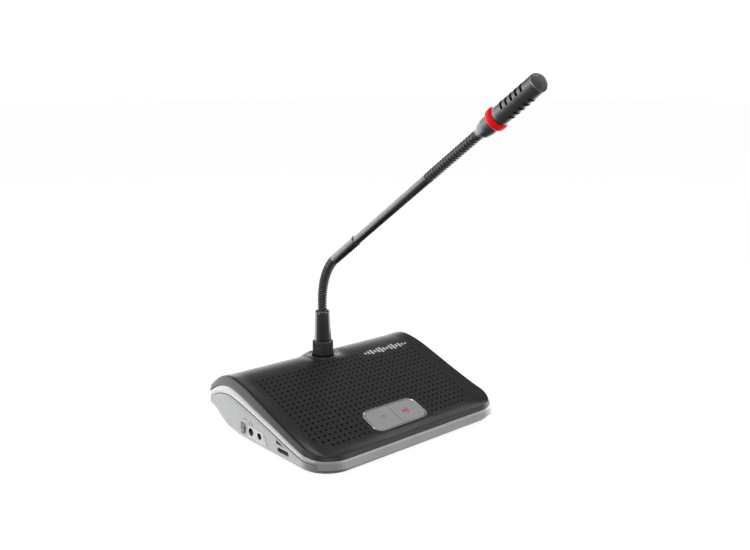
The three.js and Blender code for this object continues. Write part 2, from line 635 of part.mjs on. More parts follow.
const CUP = [
  ...ballArc(CUP_RADIUS, -headOffset, 0, LINK_RADIUS),
  [4.25, 0], [4.5, 2.4], [5.6, 4.6], [6.4, 7], [6.9, 10.5], [7.15, ledStart - GAP],
  [SPIGOT_RADIUS, ledStart - GAP], [SPIGOT_RADIUS, barrelStart + 4], [0, barrelStart + 4],
];
add(head, 'head_cup', turned(CUP, 20), DARK_METAL);

const LED = [
  [SPIGOT_RADIUS + GAP, ledStart], [LED_RADIUS - 0.9, ledStart], [LED_RADIUS, ledStart + 0.9],
  [LED_RADIUS, barrelStart - 0.9], [LED_RADIUS - 0.9, barrelStart], [SPIGOT_RADIUS + GAP, barrelStart],
  [SPIGOT_RADIUS + GAP, ledStart],
];
add(head, 'led_ring', turned(LED, 28), RED);

function slotTool(centre, start) {
  const half = THREE.MathUtils.degToRad(SLOT_ARC / 2);
  const middle = THREE.MathUtils.degToRad(centre);
  const shape = new THREE.Shape();
  shape.absarc(0, 0, BARREL_RADIUS + 1, middle - half, middle + half);
  shape.absarc(0, 0, barrelBore - 0.8, middle + half, middle - half, true);
  shape.closePath();
  const geometry = new THREE.ExtrudeGeometry(shape, {
    depth: SLOT_HEIGHT, bevelEnabled: false, curveSegments: 3,
  });
  geometry.translate(0, 0, barrelStart + start - SLOT_HEIGHT / 2);
  return toSolid(geometry);
}

function barrel() {
  const low = barrelStart + GAP;
  const wall = turned([
    [SPIGOT_RADIUS + GAP, low], [BARREL_RADIUS, low], [BARREL_RADIUS, capStart],
    [barrelBore, capStart], [barrelBore, low + 3], [SPIGOT_RADIUS + GAP, low + 3], [SPIGOT_RADIUS + GAP, low],
  ], 24);
  return cutBy(wall, SLOT_CENTRES.flatMap((centre) => SLOT_STARTS.map((start) => slotTool(centre, start))));
}

add(head, 'mic_barrel', barrel(), DARK_METAL);

const CAP = [
  [0, capStart + CAP_HEIGHT], [2.4, capStart + CAP_HEIGHT - 0.3], [4.8, capStart + CAP_HEIGHT - 1.4],
  [6.6, capStart + 2.2], [BARREL_RADIUS, capStart + GAP], [BARREL_RADIUS - 1, capStart + GAP],
  [5.8, capStart + 1.6], [4.2, capStart + CAP_HEIGHT - 2.3], [2.2, capStart + CAP_HEIGHT - 1.2],
  [0, capStart + CAP_HEIGHT - 0.9],
].reverse();
add(head, 'mesh_cap', turned(CAP, 24), DARK_METAL);

const LINER = [
  [4.9, barrelStart + 5], [5.6, barrelStart + 5], [5.6, capStart - 3], [4.9, capStart - 3],
  [4.9, barrelStart + 5],
];
add(head, 'slot_gauze', turned(LINER, 16), PAPER);
const CAPSULE = [[0, capStart - 2.6], [5.4, capStart - 2.6], [5.4, capStart + 0.4], [0, capStart + 0.4]];
add(head, 'mic_capsule', turned(CAPSULE, 18), BRASS);

export default object;
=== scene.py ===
import json
import math

import bpy
from mathutils import Matrix, Vector


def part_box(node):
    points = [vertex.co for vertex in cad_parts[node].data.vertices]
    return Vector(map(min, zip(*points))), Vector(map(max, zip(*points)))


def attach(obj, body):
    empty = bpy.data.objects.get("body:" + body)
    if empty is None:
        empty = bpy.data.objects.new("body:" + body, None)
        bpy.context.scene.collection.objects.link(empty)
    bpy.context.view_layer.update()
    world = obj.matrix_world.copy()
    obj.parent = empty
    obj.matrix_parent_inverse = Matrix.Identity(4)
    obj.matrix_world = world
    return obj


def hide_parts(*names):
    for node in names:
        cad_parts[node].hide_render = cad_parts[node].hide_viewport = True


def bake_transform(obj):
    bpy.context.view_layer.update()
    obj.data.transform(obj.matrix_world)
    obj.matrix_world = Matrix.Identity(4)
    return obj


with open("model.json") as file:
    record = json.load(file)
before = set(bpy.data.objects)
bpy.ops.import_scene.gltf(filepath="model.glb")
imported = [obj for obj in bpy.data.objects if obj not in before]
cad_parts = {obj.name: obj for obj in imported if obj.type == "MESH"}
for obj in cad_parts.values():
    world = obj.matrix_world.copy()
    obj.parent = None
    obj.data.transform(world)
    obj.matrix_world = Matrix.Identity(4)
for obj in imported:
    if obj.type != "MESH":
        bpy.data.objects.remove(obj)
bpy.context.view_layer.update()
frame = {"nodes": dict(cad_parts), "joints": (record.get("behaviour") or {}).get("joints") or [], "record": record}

MM = 0.001
NODES = frame["nodes"]
COLORS = {row["slot"]: row["base_color"] for row in frame["record"]["materials"]}
FINISH = {}                           # every material of this script, by name

# ---- places from the frame
shell_low, shell_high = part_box("lower_shell")
HALF_WIDTH = shell_high.x / MM
DEPTH = (shell_high.y - shell_low.y) / MM
FRONT_Y = -63.5                       # the panel's middle is this far behind the front edge
REAR_Y = FRONT_Y + DEPTH
MIDDLE_Y = shell_low.y / MM - FRONT_Y
FRONT_RADIUS = 26.0
REAR_RADIUS = 4.0


def middle(node):
    low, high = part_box(node)
    return (low + high) / 2


def unit_point(x, y, z):
    return Vector((x, y + MIDDLE_Y, z)) * MM


def unit_place(node):
    """The middle of a CAD node in the unit's own millimetres."""
    x, y, z = middle(node) / MM
    return Vector((x, y - MIDDLE_Y, z))


# ---- small tools
def lerp(a, b, t):
    return a + (b - a) * t


def smoothstep(value, low, high):
    t = min(max((value - low) / (high - low), 0.0), 1.0)
    return t * t * (3 - 2 * t)


def smooth_line(points):
    """A smooth function of y through (y, z) points."""
    last = len(points) - 1
    slopes = []
    for i in range(len(points)):
        before, after = points[max(i - 1, 0)], points[min(i + 1, last)]
        slopes.append((after[1] - before[1]) / (after[0] - before[0]))

    def height(y):
        i = 0
        while i < last - 1 and y > points[i + 1][0]:
            i += 1
        width = points[i + 1][0] - points[i][0]
        t = (y - points[i][0]) / width
        start = points[i][1] * (1 + 2 * t) * (1 - t) ** 2 + slopes[i] * width * t * (1 - t) ** 2
        end = points[i + 1][1] * t * t * (3 - 2 * t) + slopes[i + 1] * width * t * t * (t - 1)
        return start + end

    return height


def fillet(points, steps=4):
    """Rounds the corners of an outline of (a, b) or (a, b, radius) points."""
    result = []
    count = len(points)
    for i, point in enumerate(points):
        corner = Vector(point[:2])
        radius = point[2] if len(point) > 2 else 0.0
        if radius == 0.0 or i in (0, count - 1):
            result.append(tuple(corner))
            continue
        before = Vector(points[i - 1][:2]) - corner
        after = Vector(points[i + 1][:2]) - corner
        half = before.angle(after) / 2
        reach = min(radius / math.tan(half), 0.49 * before.length, 0.49 * after.length)
        start = corner + before.normalized() * reach
        end = corner + after.normalized() * reach
        for k in range(steps + 1):
            t = k / steps
            result.append(tuple(start * (1 - t) ** 2 + corner * 2 * t * (1 - t) + end * t * t))
    return result


# ---- meshes
def shade(mesh, sharp):
    """Smooth shading, but for edges sharper than so many degrees."""
    mesh.polygons.foreach_set("use_smooth", [True] * len(mesh.polygons))
    mesh.set_sharp_from_angle(angle=math.radians(sharp))


def mesh_object(name, points, faces, finish, sharp=32):
    """A smooth-shaded object from points in metres of the shared frame."""
    mesh = bpy.data.meshes.new(name)
    mesh.from_pydata([tuple(p) for p in points], [], faces)
    mesh.validate()
    shade(mesh, sharp)
    mesh.materials.append(FINISH[finish])
    thing = bpy.data.objects.new(name, mesh)
    bpy.context.scene.collection.objects.link(thing)
    return thing


def settle(thing, sharp=32):
    """Applies the object's modifiers to its mesh."""
    graph = bpy.context.evaluated_depsgraph_get()
    mesh = bpy.data.meshes.new_from_object(thing.evaluated_get(graph))
    thing.modifiers.clear()
    thing.data = mesh
    shade(mesh, sharp)


def thicken(thing, thickness):
    solid = thing.modifiers.new("wall", "SOLIDIFY")
    solid.thickness = thickness * MM
    solid.offset = -1
    solid.use_even_offset = False
    settle(thing)


def cut(thing, tools):
    """Cuts the tools out of the thing, and removes them."""
    for tool in tools:
        knife = thing.modifiers.new(tool.name, "BOOLEAN")
        knife.object = tool
        knife.operation = "DIFFERENCE"
        knife.solver = "EXACT"
    settle(thing)
    for tool in tools:
        bpy.data.objects.remove(tool)


def merged(name, things, finish):
    """One object made of several, which are removed."""
    points, faces, offset = [], [], 0
    for thing in things:
        points += [thing.matrix_world @ v.co for v in thing.data.vertices]
        faces += [[offset + v for v in face.vertices] for face in thing.data.polygons]
        offset = len(points)
    for thing in things:
        bpy.data.objects.remove(thing)
    return mesh_object(name, points, faces, finish)


def ring_faces(count, ring_a, ring_b):
    """Quads between two rings of point numbers that start at ring_a and ring_b."""
    return [
        (ring_a + k, ring_a + (k + 1) % count, ring_b + (k + 1) % count, ring_b + k)
        for k in range(count)
    ]


def loft(name, rings, finish, cap_end=True, closed=False, sharp=32):
    """Skins closed rings of the same number of points, as a tube closed on itself or capped."""
    count = len(rings[0])
    points = [p for ring in rings for p in ring]
    faces = []
    for i in range(len(rings) - 1):
        faces += ring_faces(count, i * count, (i + 1) * count)
    last = (len(rings) - 1) * count
    if closed:
        faces += ring_faces(count, last, 0)
    else:
        faces.append(tuple(reversed(range(count))))
        if cap_end:
            faces.append(tuple(range(last, last + count)))
    return mesh_object(name, points, faces, finish, sharp)


def axis_frame(origin, direction):
    """Millimetres along +Z of a local frame, placed at an origin in metres with Z along direction."""
    turn = Vector(direction).to_track_quat("Z", "Y").to_matrix().to_4x4()
    return Matrix.Translation(origin) @ turn @ Matrix.Scale(MM, 4)


def tipped_frame(origin, angle):
    """Millimetres in a frame tipped back about X."""
    return Matrix.Translation(origin) @ Matrix.Rotation(angle, 4, "X") @ Matrix.Scale(MM, 4)


def upright_frame(node):
    """Millimetres up from the desk under a CAD node."""
    x, y, _ = unit_place(node)
    return axis_frame(unit_point(x, y, 0), (0, 0, 1))


def lathe(name, profile, finish, where, sides, closed=False, shape=None):
    """Turns (radius, z) pairs about the frame's Z. shape(angle, radius, z) may change a radius."""
    rings = []
    for radius, z in profile:
        ring = []
        for k in range(sides):
            angle = 2 * math.pi * k / sides
            r = shape(angle, radius, z) if shape else max(radius, 0.01)
            ring.append(where @ Vector((r * math.cos(angle), r * math.sin(angle), z)))
        rings.append(ring)
    return loft(name, rings, finish, closed=closed)


def prism(name, outline, low, high, where, finish):
    """A straight block over an outline of (x, y) points of a local frame."""
    pairs = zip(outline, outline[1:] + outline[:1])
    if sum(a[0] * b[1] - b[0] * a[1] for a, b in pairs) < 0:
        outline = outline[::-1]
    rings = [[where @ Vector((x, y, z)) for x, y in outline] for z in (low, high)]
    return loft(name, rings, finish)


def rounded_rect(width, depth, radius, steps=6):
    points = []
    corners = ((1, -1, -90), (1, 1, 0), (-1, 1, 90), (-1, -1, 180))
    for side, end, start in corners:
        for k in range(steps + 1):
            angle = math.radians(start + 90 * k / steps)
            x = side * (width / 2 - radius) + radius * math.cos(angle)
            y = end * (depth / 2 - radius) + radius * math.sin(angle)
            points.append((x, y))
    return points


def disc(radius, steps=16, x=0.0, y=0.0):
    turns = [2 * math.pi * k / steps for k in range(steps)]
    return [(x + radius * math.cos(a), y + radius * math.sin(a)) for a in turns]


# ---- materials
def node_tree(name):
    """A new material in FINISH: its tree, its shader and the object's coordinates."""
    material = bpy.data.materials.new(name)
    material.use_nodes = True
    FINISH[name] = material
    tree = material.node_tree
    return tree, tree.nodes["Principled BSDF"], add_node(tree, "TexCoord", "Object")


def set_sockets(node, values):
    for socket, value in values.items():
        node.inputs[socket].default_value = value


def add_node(tree, kind, output, values=None, links=None, **settings):
    """The named output of a new node, with the values and links of its input sockets."""
    node = tree.nodes.new("ShaderNode" + kind)
    for setting, value in settings.items():
        setattr(node, setting, value)
    set_sockets(node, values or {})
    for socket, source in (links or {}).items():
        tree.links.new(source, node.inputs[socket])
    return node.outputs[output]


def noise(tree, vector, size, detail=3.0):
    """Noise with features of about that size in millimetres."""
    values = {"Scale": 1 / (size * MM), "Detail": detail, "Roughness": 0.5}
    return add_node(tree, "TexNoise", "Fac", values, {"Vector": vector})


def ramp(tree, value, dark, light, low=0.35, high=0.65):
    node = tree.nodes.new("ShaderNodeValToRGB")
    for element, position, color in zip(node.color_ramp.elements, (low, high), (dark, light)):
        element.position = position
        element.color = (*color, 1)
    tree.links.new(value, node.inputs["Fac"])
    return node.outputs["Color"]


def spread(tree, value, low, high):
    values = {"From Min": 0.3, "From Max": 0.7, "To Min": low, "To Max": high}
    return add_node(tree, "MapRange", "Result", values, {"Value": value})


def bump(tree, shader, value, depth):
    values = {"Strength": 1.0, "Distance": depth * MM}
    tree.links.new(add_node(tree, "Bump", "Normal", values, {"Height": value}), shader.inputs["Normal"])


def surface(name, color, roughness, metallic=0.0, mottle=0.06, mottle_size=14.0, grain=0.35,
            depth=0.004, stretch=(1, 1, 1)):
    """A finish whose tone, gloss and fine relief all vary a little over the surface."""
    tree, shader, place = node_tree(name)
    dark = [c * (1 - mottle) for c in color[:3]]
    light = [min(c * (1 + mottle), 1.0) for c in color[:3]]
    tree.links.new(ramp(tree, noise(tree, place, mottle_size), dark, light), shader.inputs["Base Color"])
    along_grain = add_node(tree, "Mapping", "Vector", {"Scale": stretch}, {"Vector": place})
    fine = noise(tree, along_grain, grain, detail=4.0)
    gloss = spread(tree, fine, roughness - 0.05, roughness + 0.05)
    tree.links.new(gloss, shader.inputs["Roughness"])
    bump(tree, shader, fine, depth)
    set_sockets(shader, {"Metallic": metallic})


def woven(name, color, pitch, depth):
    """A plain weave from two crossed bands."""
    tree, shader, place = node_tree(name)
    bands = {}
    for socket, direction in enumerate(("X", "Y")):
        scale = {"Scale": 0.3 / (pitch * MM)}
        bands[socket] = add_node(tree, "TexWave", "Fac", scale, {"Vector": place}, bands_direction=direction)
    weave = add_node(tree, "Math", "Value", None, bands, operation="MULTIPLY")
    dark = [c * 0.35 for c in color[:3]]
    tree.links.new(ramp(tree, weave, dark, color[:3], 0.1, 0.8), shader.inputs["Base Color"])
    bump(tree, shader, weave, depth)
    set_sockets(shader, {"Roughness": 0.9})


def circuit_board(name, color):
    """Solder mask over a pattern of square copper areas."""
    tree, shader, place = node_tree(name)
    cells = add_node(
        tree, "TexVoronoi", "Distance", {"Scale": 1 / (5.5 * MM)}, {"Vector": place}, distance="MANHATTAN")
    dark = [c * 0.6 for c in color[:3]]
    light = [c * 1.5 for c in color[:3]]
    tree.links.new(ramp(tree, cells, light, dark, 0.42, 0.5), shader.inputs["Base Color"])
    tree.links.new(spread(tree, noise(tree, place, 0.8), 0.3, 0.5), shader.inputs["Roughness"])
    bump(tree, shader, cells, 0.02)


def glowing(name, color):
    """Frosted red plastic with light behind it."""
    tree, shader, place = node_tree(name)
    deep = (color[0] * 0.85, color[1], color[2])
    tree.links.new(ramp(tree, noise(tree, place, 3.0), deep, color), shader.inputs["Base Color"])
    set_sockets(shader, {"Roughness": 0.38, "Specular IOR Level": 0.2})
    set_sockets(shader, {"Emission Color": (1.0, 0.004, 0.004, 1), "Emission Strength": 0.3})
    bump(tree, shader, noise(tree, place, 0.25), 0.006)


def make_finishes():
    surface("cover_black", (0.020, 0.021, 0.022), 0.42, grain=0.3, depth=0.006)
    surface("trim_silver", (0.50, 0.51, 0.52), 0.36, 0.3, 0.03, grain=0.2, depth=0.002)
    surface("shell_grey", (0.36, 0.365, 0.37), 0.4, 0.25, 0.04, grain=0.25)
    # the jack plate: the shell's grey painted lighter, a painted highlight for its tilt towards the light
    surface("port_light", (0.46, 0.465, 0.47), 0.38, 0.25, 0.03, grain=0.25, depth=0.003)
    surface("button_silver", (0.52, 0.525, 0.53), 0.36, 0.3, 0.03, 30, 0.18, 0.003)
    surface("bezel_chrome", (0.82, 0.82, 0.83), 0.16, 1.0, 0.02, depth=0.001)
    surface("foot_rubber", (0.02, 0.02, 0.022), 0.85, grain=0.4, depth=0.02)
    surface("wheel_black", (0.34, 0.343, 0.348), 0.5, grain=0.3, depth=0.005)
    surface("steel", COLORS["steel"], 0.3, 1.0, 0.05, stretch=(1, 12, 1))
    surface("magnet_iron", COLORS["magnet_iron"], 0.5, 0.8, 0.2, 4.0, 0.6, 0.01)
    surface("brass", COLORS["brass"], 0.25, 1.0, 0.06, 3.0, stretch=(1, 1, 10))
    surface("part_plastic", COLORS["part_plastic"], 0.45, grain=0.5, depth=0.005)
    surface("neck_black", (0.135, 0.138, 0.142), 0.24, 0.9, 0.1, 6.0, 0.3, 0.0008)
    surface("coil_black", (0.10, 0.102, 0.105), 0.3, 0.55, 0.1, 6.0, 0.3, 0.001)
    surface("ring_satin", (0.06, 0.062, 0.064), 0.3, 0.6, 0.06, 8.0, 0.2, 0.002)
    surface("head_black", (0.14, 0.143, 0.146), 0.32, 0.85, 0.06, 8.0, 0.18, 0.002)
    surface("mesh_wire", (0.42, 0.425, 0.43), 0.35, 0.7, 0.25, 0.9, 0.2, 0.002)
    surface("mark_white", (0.86, 0.86, 0.86), 0.45, 0.0, 0.02, depth=0.002)
    surface("mark_red", (0.80, 0.035, 0.04), 0.4, 0.0, 0.03, depth=0.002)
    surface("sign_grey", (0.28, 0.283, 0.286), 0.4, 0.2, 0.03, depth=0.002)
    surface("mark_grey", (0.20, 0.203, 0.206), 0.5, 0.0, 0.03, depth=0.002)
    circuit_board("board_green", COLORS["board_green"])
    woven("paper", COLORS["paper"], 0.5, 0.03)
    woven("gauze", (0.007, 0.007, 0.007), 0.35, 0.05)
    glowing("led_red", (0.7, 0.004, 0.004))


def show(piece, body, slot, *replaced):
    """Says what body a piece rides on and the CAD nodes it stands for; its finish slot is not used."""
    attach(piece, body)
    if replaced:
        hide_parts(*replaced)
    return piece


# ---- camera, floor and light
CAMERA_LENS = 41.47                   # millimetres, on a sensor 36 mm wide
CAMERA_PLACE = (-0.4430, -0.4751, 0.2790)
CAMERA_DOWN, CAMERA_RIGHT = 12.59, 41.24    # degrees below level and to the right of +Y
FLOOR_REACH = 12.0


def make_stage():
    camera_data = bpy.data.cameras.new("camera")
    camera_data.lens = CAMERA_LENS
    camera_data.sensor_width = 36
    camera = bpy.data.objects.new("camera", camera_data)
    bpy.context.scene.collection.objects.link(camera)
    camera.location = CAMERA_PLACE
    camera.rotation_euler = (math.radians(90 - CAMERA_DOWN), 0, math.radians(-CAMERA_RIGHT))
    bpy.context.scene.camera = camera

    corners = [(FLOOR_REACH * x, FLOOR_REACH * y, 0) for x, y in ((-1, -1), (1, -1), (1, 1), (-1, 1))]
    floor_white()
    floor = mesh_object("floor", corners, [(0, 1, 2, 3)], "floor_white")
    floor.visible_diffuse = False
    floor.visible_glossy = False
    floor.visible_shadow = False
    bpy.context.scene.world = studio_world()
    bpy.context.scene.view_settings.view_transform = "Standard"


def floor_white():
    """A pale floor that gives its own light."""
    tree, shader, place = node_tree("floor_white")
    tone = ramp(tree, noise(tree, place, 60), (0.3,) * 3, (0.31,) * 3)
    tree.links.new(tone, shader.inputs["Base Color"])
    set_sockets(shader, {"Roughness": 0.9, "Specular IOR Level": 0.0})
    set_sockets(shader, {"Emission Color": (1, 1, 1, 1), "Emission Strength": 0.86})


# The studio seen by the object: a dim room with a bright band low at the back and a soft ceiling.
AMBIENT = 0.15
CEILING = 0.3
BACK_LIGHT = 2.8
BACK_DIRECTION = (0.55, 0.83, 0.0)


def studio_world():
    world = bpy.data.worlds.new("studio")
    world.use_nodes = True
    tree = world.node_tree
    direction = add_node(tree, "TexCoord", "Generated")

    def combine(operation, a, b):
        """Two values together, either of them a number or a node's output."""
        values, links = {}, {}
        for socket, value in enumerate((a, b)):
            (values if isinstance(value, float) else links)[socket] = value
        return add_node(tree, "Math", "Value", values, links, operation=operation)

    def step(value, low, high):
        values = {"From Min": low, "From Max": high}
        return add_node(tree, "MapRange", "Result", values, {"Value": value}, interpolation_type="SMOOTHSTEP")

    def towards(vector):
        return add_node(tree, "VectorMath", "Value", {1: vector}, {0: direction}, operation="DOT_PRODUCT")

    up = towards((0, 0, 1))
    back = step(towards(BACK_DIRECTION), -0.12, 0.3)
    band = combine("MULTIPLY", step(up, -0.95, -0.45), step(up, 0.42, 0.2))
    glow = combine("MULTIPLY", combine("MULTIPLY", back, band), BACK_LIGHT)
    ceiling = combine("MULTIPLY", step(up, 0.55, 0.95), CEILING)
    room = combine("ADD", combine("ADD", glow, ceiling), AMBIENT)
    strength = combine("MAXIMUM", room, add_node(tree, "LightPath", "Is Camera Ray"))
    background = tree.nodes["Background"]
    tree.links.new(strength, background.inputs["Strength"])
    background.inputs["Color"].default_value = (1, 1, 1, 1)
    return world


def area_light(name, where, target, width, height, power):
    data = bpy.data.lights.new(name, "AREA")
    data.shape = "RECTANGLE"
    data.size, data.size_y = width, height
    data.energy = power
    light = bpy.data.objects.new(name, data)
    bpy.context.scene.collection.objects.link(light)
    light.location = where
    light.rotation_euler = (Vector(target) - Vector(where)).to_track_quat("-Z", "Y").to_euler()


def make_lights():
    area_light("key", (-0.7, -0.9, 1.5), (0, 0.03, 0.05), 0.9, 0.9, 9)
    area_light("left_side", (-1.3, 0.1, 0.35), (0, 0.05, 0.05), 0.7, 0.5, 2.8)
    area_light("front_low", (0.5, -1.2, 0.35), (0, 0, 0.05), 0.9, 0.35, 3.5)


# ---- the unit's surfaces
PANEL_LINE = [
    (-64, 16.6), (-57, 14.4), (-50, 13.4), (-43, 14.5), (-36, 17.2), (-20, 23.4), (0, 30.6), (20, 37.4),
    (36, 42.5), (44, 44.9), (52, 46.6), (60, 47), (68, 45.8), (76, 42.2), (84, 36.6), (92, 30),
]
RIM_LINE = [
    (-64, 17), (-50, 17.5), (-36, 20.2), (-20, 25), (0, 31.8), (22, 39.7), (36, 44.4), (50, 47.4),
    (60, 48), (71, 45.2), (82, 38.3), (92, 30.2),
]
COVER_LINE = [
    (-64, 11.8), (-50, 12.4), (-36, 14.8), (-20, 19.2), (0, 25), (14, 28.6), (28, 32.5), (42, 36.8),
    (53, 39.2), (63, 39.4), (73, 36.8), (82, 32.2), (92, 25.8),
]
TRIM_LINE = [
    (-64, 7.6), (-50, 8.3), (-36, 10.4), (-20, 14), (0, 19.6), (22, 25.2), (37, 28.9), (54, 32.2),
    (64, 32.2), (74, 30), (83, 25.6), (92, 19.6),
]
BASE_LINE = [
    (-64, 1.5), (-30, 1.5), (10, 1.5), (44, 1.5), (57, 4.3), (68, 8.9), (77, 14.6), (85, 17.8), (92, 18.4),
]
RIM_WIDTH = 14
SEAM = 0.15                           # half the gap between casing pieces

panel_height = smooth_line(PANEL_LINE)
rim_height = smooth_line(RIM_LINE)
cover_height = smooth_line(COVER_LINE)
trim_height = smooth_line(TRIM_LINE)
base_height = smooth_line(BASE_LINE)


def panel_slope(y):
    return math.atan2(panel_height(y + 2) - panel_height(y - 2), 4)


def top_height(x, y):
    t = smoothstep(abs(x), HALF_WIDTH - RIM_WIDTH, HALF_WIDTH)
    return lerp(panel_height(y), rim_height(y), t)


# Corners of the plan as (centre x, centre y, radius): front left, front right, rear right, rear left.
CORNERS = [
    (-HALF_WIDTH + FRONT_RADIUS, FRONT_Y + FRONT_RADIUS, FRONT_RADIUS),
    (HALF_WIDTH - FRONT_RADIUS, FRONT_Y + FRONT_RADIUS, FRONT_RADIUS),
    (HALF_WIDTH - REAR_RADIUS, REAR_Y - REAR_RADIUS, REAR_RADIUS),
    (-HALF_WIDTH + REAR_RADIUS, REAR_Y - REAR_RADIUS, REAR_RADIUS),
]


def on_arc(x, y, radius, angle):
    nx, ny = math.cos(angle), math.sin(angle)
    return x + radius * nx, y + radius * ny, nx, ny


def outline_at(side, t):
    """(x, y, normal x, normal y) on the plan's edge, from the middle of one corner to the next."""
    (ax, ay, a_radius), (bx, by, b_radius) = CORNERS[side], CORNERS[(side + 1) % 4]
    facing = math.radians(270 + 90 * side)
    along = Vector((-math.sin(facing), math.cos(facing)))
    straight = along.dot(Vector((bx - ax, by - ay)))
    eighth = math.pi / 4
    distance = t * (a_radius * eighth + straight + b_radius * eighth)
    if distance < a_radius * eighth:
        return on_arc(ax, ay, a_radius, facing - eighth + distance / a_radius)
    distance -= a_radius * eighth
    if distance < straight:
        x, y, nx, ny = on_arc(ax, ay, a_radius, facing)
        return x + along.x * distance, y + along.y * distance, nx, ny
    return on_arc(bx, by, b_radius, facing + (distance - straight) / b_radius)


# The perforated panel is a lattice of cells, and every cell edge is split in SPLIT along the rim.
PITCH_X, PITCH_Y = 5.2, 4.914
COLUMNS, ROWS = 32, 26                # the first row lies in front of the holes
FIRST_HOLE_ROW, HOLE_ROWS = 1, 18
SPLIT = 4
HOLE_RADIUS = 1.05
HOLE_SIDES = 12

EDGE = []
for side_number, cell_count in enumerate((COLUMNS, ROWS, COLUMNS, ROWS)):
    steps = cell_count * SPLIT
    EDGE += [outline_at(side_number, k / steps) for k in range(steps)]


def edge_ring(profile):
    """A ring of points round the plan; profile(y) gives (inset, z) there."""
    ring = []
    for x, y, nx, ny in EDGE:
        inset, z = profile(y)
        ring.append(unit_point(x - nx * inset, y - ny * inset, z))
    return ring


# ---- buttons' frame
block_low, block_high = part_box("button_bezel")
BEZEL_SIZE = ((block_high.x - block_low.x) / MM, 25.4)
BUTTON_Y = -33.6
BUTTON_TILT = panel_slope(BUTTON_Y)
BUTTON_FRAME = tipped_frame(unit_point(0, BUTTON_Y, panel_height(BUTTON_Y)), BUTTON_TILT)
WINDOW_GAP = 0.3
WINDOW_RADIUS = 8.0


def button_plane(y):
    return panel_height(BUTTON_Y) + (y - BUTTON_Y) * math.tan(BUTTON_TILT)


# ---- top cover
RING_CENTRE = unit_place("socket_ring")
RING_BORE = 13.9
SEAT_HEIGHT = 46.1


def cover_surface(x, y):
    """Height of the cover, level where it meets the socket ring."""
    distance = math.hypot(x - RING_CENTRE.x, y - RING_CENTRE.y)
    return lerp(SEAT_HEIGHT, top_height(x, y), smoothstep(distance, RING_BORE + 1.3, RING_BORE + 8))


def cell_kind(column, row):
    """What a cell of the panel lattice is: button, ring, hole or plain."""
    lattice_row = row - FIRST_HOLE_ROW
    if (10 <= column <= 21 and row <= 4) or (11 <= column <= 20 and row == 5):
        return "button"
    if 13 <= column <= 18 and row >= 19:
        return "ring"
    if not 0 <= lattice_row < HOLE_ROWS:
        return "plain"
    corner = max(2 - lattice_row, 0)
    if column < corner or column > COLUMNS - 1 - corner:
        return "plain"
    if lattice_row >= 16 and column > 20:
        return "plain"
    return "hole"


class Skin:
    """Points and faces of a surface over the plan, in the unit's millimetres."""

    def __init__(self):
        self.points = []
        self.faces = []

    def add(self, x, y, z):
        self.points.append((x, y, z))
        return len(self.points) - 1

    def hole_cell(self, corners):
        """Fills a cell round a hole. Corners run anticlockwise from the front left."""
        x = sum(self.points[c][0] for c in corners) / 4
        y = sum(self.points[c][1] for c in corners) / 4
        rim = []
        for k in range(HOLE_SIDES):
            angle = math.radians(225 + 15 + k * 360 / HOLE_SIDES)
            px, py = x + HOLE_RADIUS * math.cos(angle), y + HOLE_RADIUS * math.sin(angle)
            rim.append(self.add(px, py, cover_surface(px, py)))
        for side in range(4):
            first, second = corners[side], corners[(side + 1) % 4]
            near = rim[3 * side:3 * side + 3]
            self.faces.append((first, second, near[2], near[1], near[0]))
            self.faces.append((second, rim[(3 * side + 3) % HOLE_SIDES], near[2]))

    def split_ring(self, loop, place):
        """A ring of SPLIT points for every edge of a loop; place(q) moves a point of the loop."""
        ring = []
        count = len(loop)
        for i in range(count):
            a, b = Vector(self.points[loop[i]][:2]), Vector(self.points[loop[(i + 1) % count]][:2])
            for k in range(SPLIT):
                ring.append(self.add(*place(a.lerp(b, k / SPLIT), i * SPLIT + k)))
        return ring

    def join_loop(self, loop, ring, outward):
        count = len(loop)
        for i in range(count):
            part = [ring[(i * SPLIT + k) % len(ring)] for k in range(SPLIT + 1)]
            a, b = loop[i], loop[(i + 1) % count]
            face = [a, *part, b] if outward else [a, b, *reversed(part)]
            self.faces.append(face)

    def join_rings(self, inner, outer):
        for k in range(len(inner)):
            n = (k + 1) % len(inner)
            self.faces.append((inner[k], outer[k], outer[n], inner[n]))


def cell_corners(column, row):
    return [(column, row), (column + 1, row), (column + 1, row + 1), (column, row + 1)]


def block_loop(cells, vertex):
    """The boundary of a block of cells, anticlockwise."""
    following = set()
    for column, row in cells:
        square = cell_corners(column, row)
        for edge in zip(square, square[1:] + square[:1]):
            if edge[::-1] in following:
                following.remove(edge[::-1])
            else:
                following.add(edge)
    edges = dict(following)
    start = min(edges)
    loop, at = [], start
    while True:
        loop.append(vertex[at])
        at = edges[at]
        if at == start:
            return loop


def to_round(centre, radius):
    """Moves a point towards a circle, as a function of how far to go."""
    def move(q, t):
        away = q - centre
        return q.lerp(centre + away.normalized() * radius, t)
    return move


def to_window(centre, half_width, half_depth, radius):
    """Moves a point towards a rounded rectangle."""
    def inside(p):
        dx = max(abs(p.x - centre.x) - (half_width - radius), 0)
        dy = max(abs(p.y - centre.y) - (half_depth - radius), 0)
        return math.hypot(dx, dy) <= radius

    def move(q, t):
        low, high = 0.0, 1.0
        for _ in range(24):
            mid = (low + high) / 2
            if inside(centre.lerp(q, mid)):
                low = mid
            else:
                high = mid
        return q.lerp(centre.lerp(q, low), t)
    return move


def fill_block(skin, loop, move, height, stops):
    """Closes in from a block's boundary to the opening in it."""
    rings = []
    for t in stops:
        def place(q, _, t=t):
            p = move(q, t)
            return p.x, p.y, height(p.x, p.y, t)
        rings.append(skin.split_ring(loop, place))
    skin.join_loop(loop, rings[0], outward=False)
    for outer, inner in zip(rings, rings[1:]):
        skin.join_rings(inner, outer)


COVER_WALL = 1.5
CREASE_INSET = 3.4
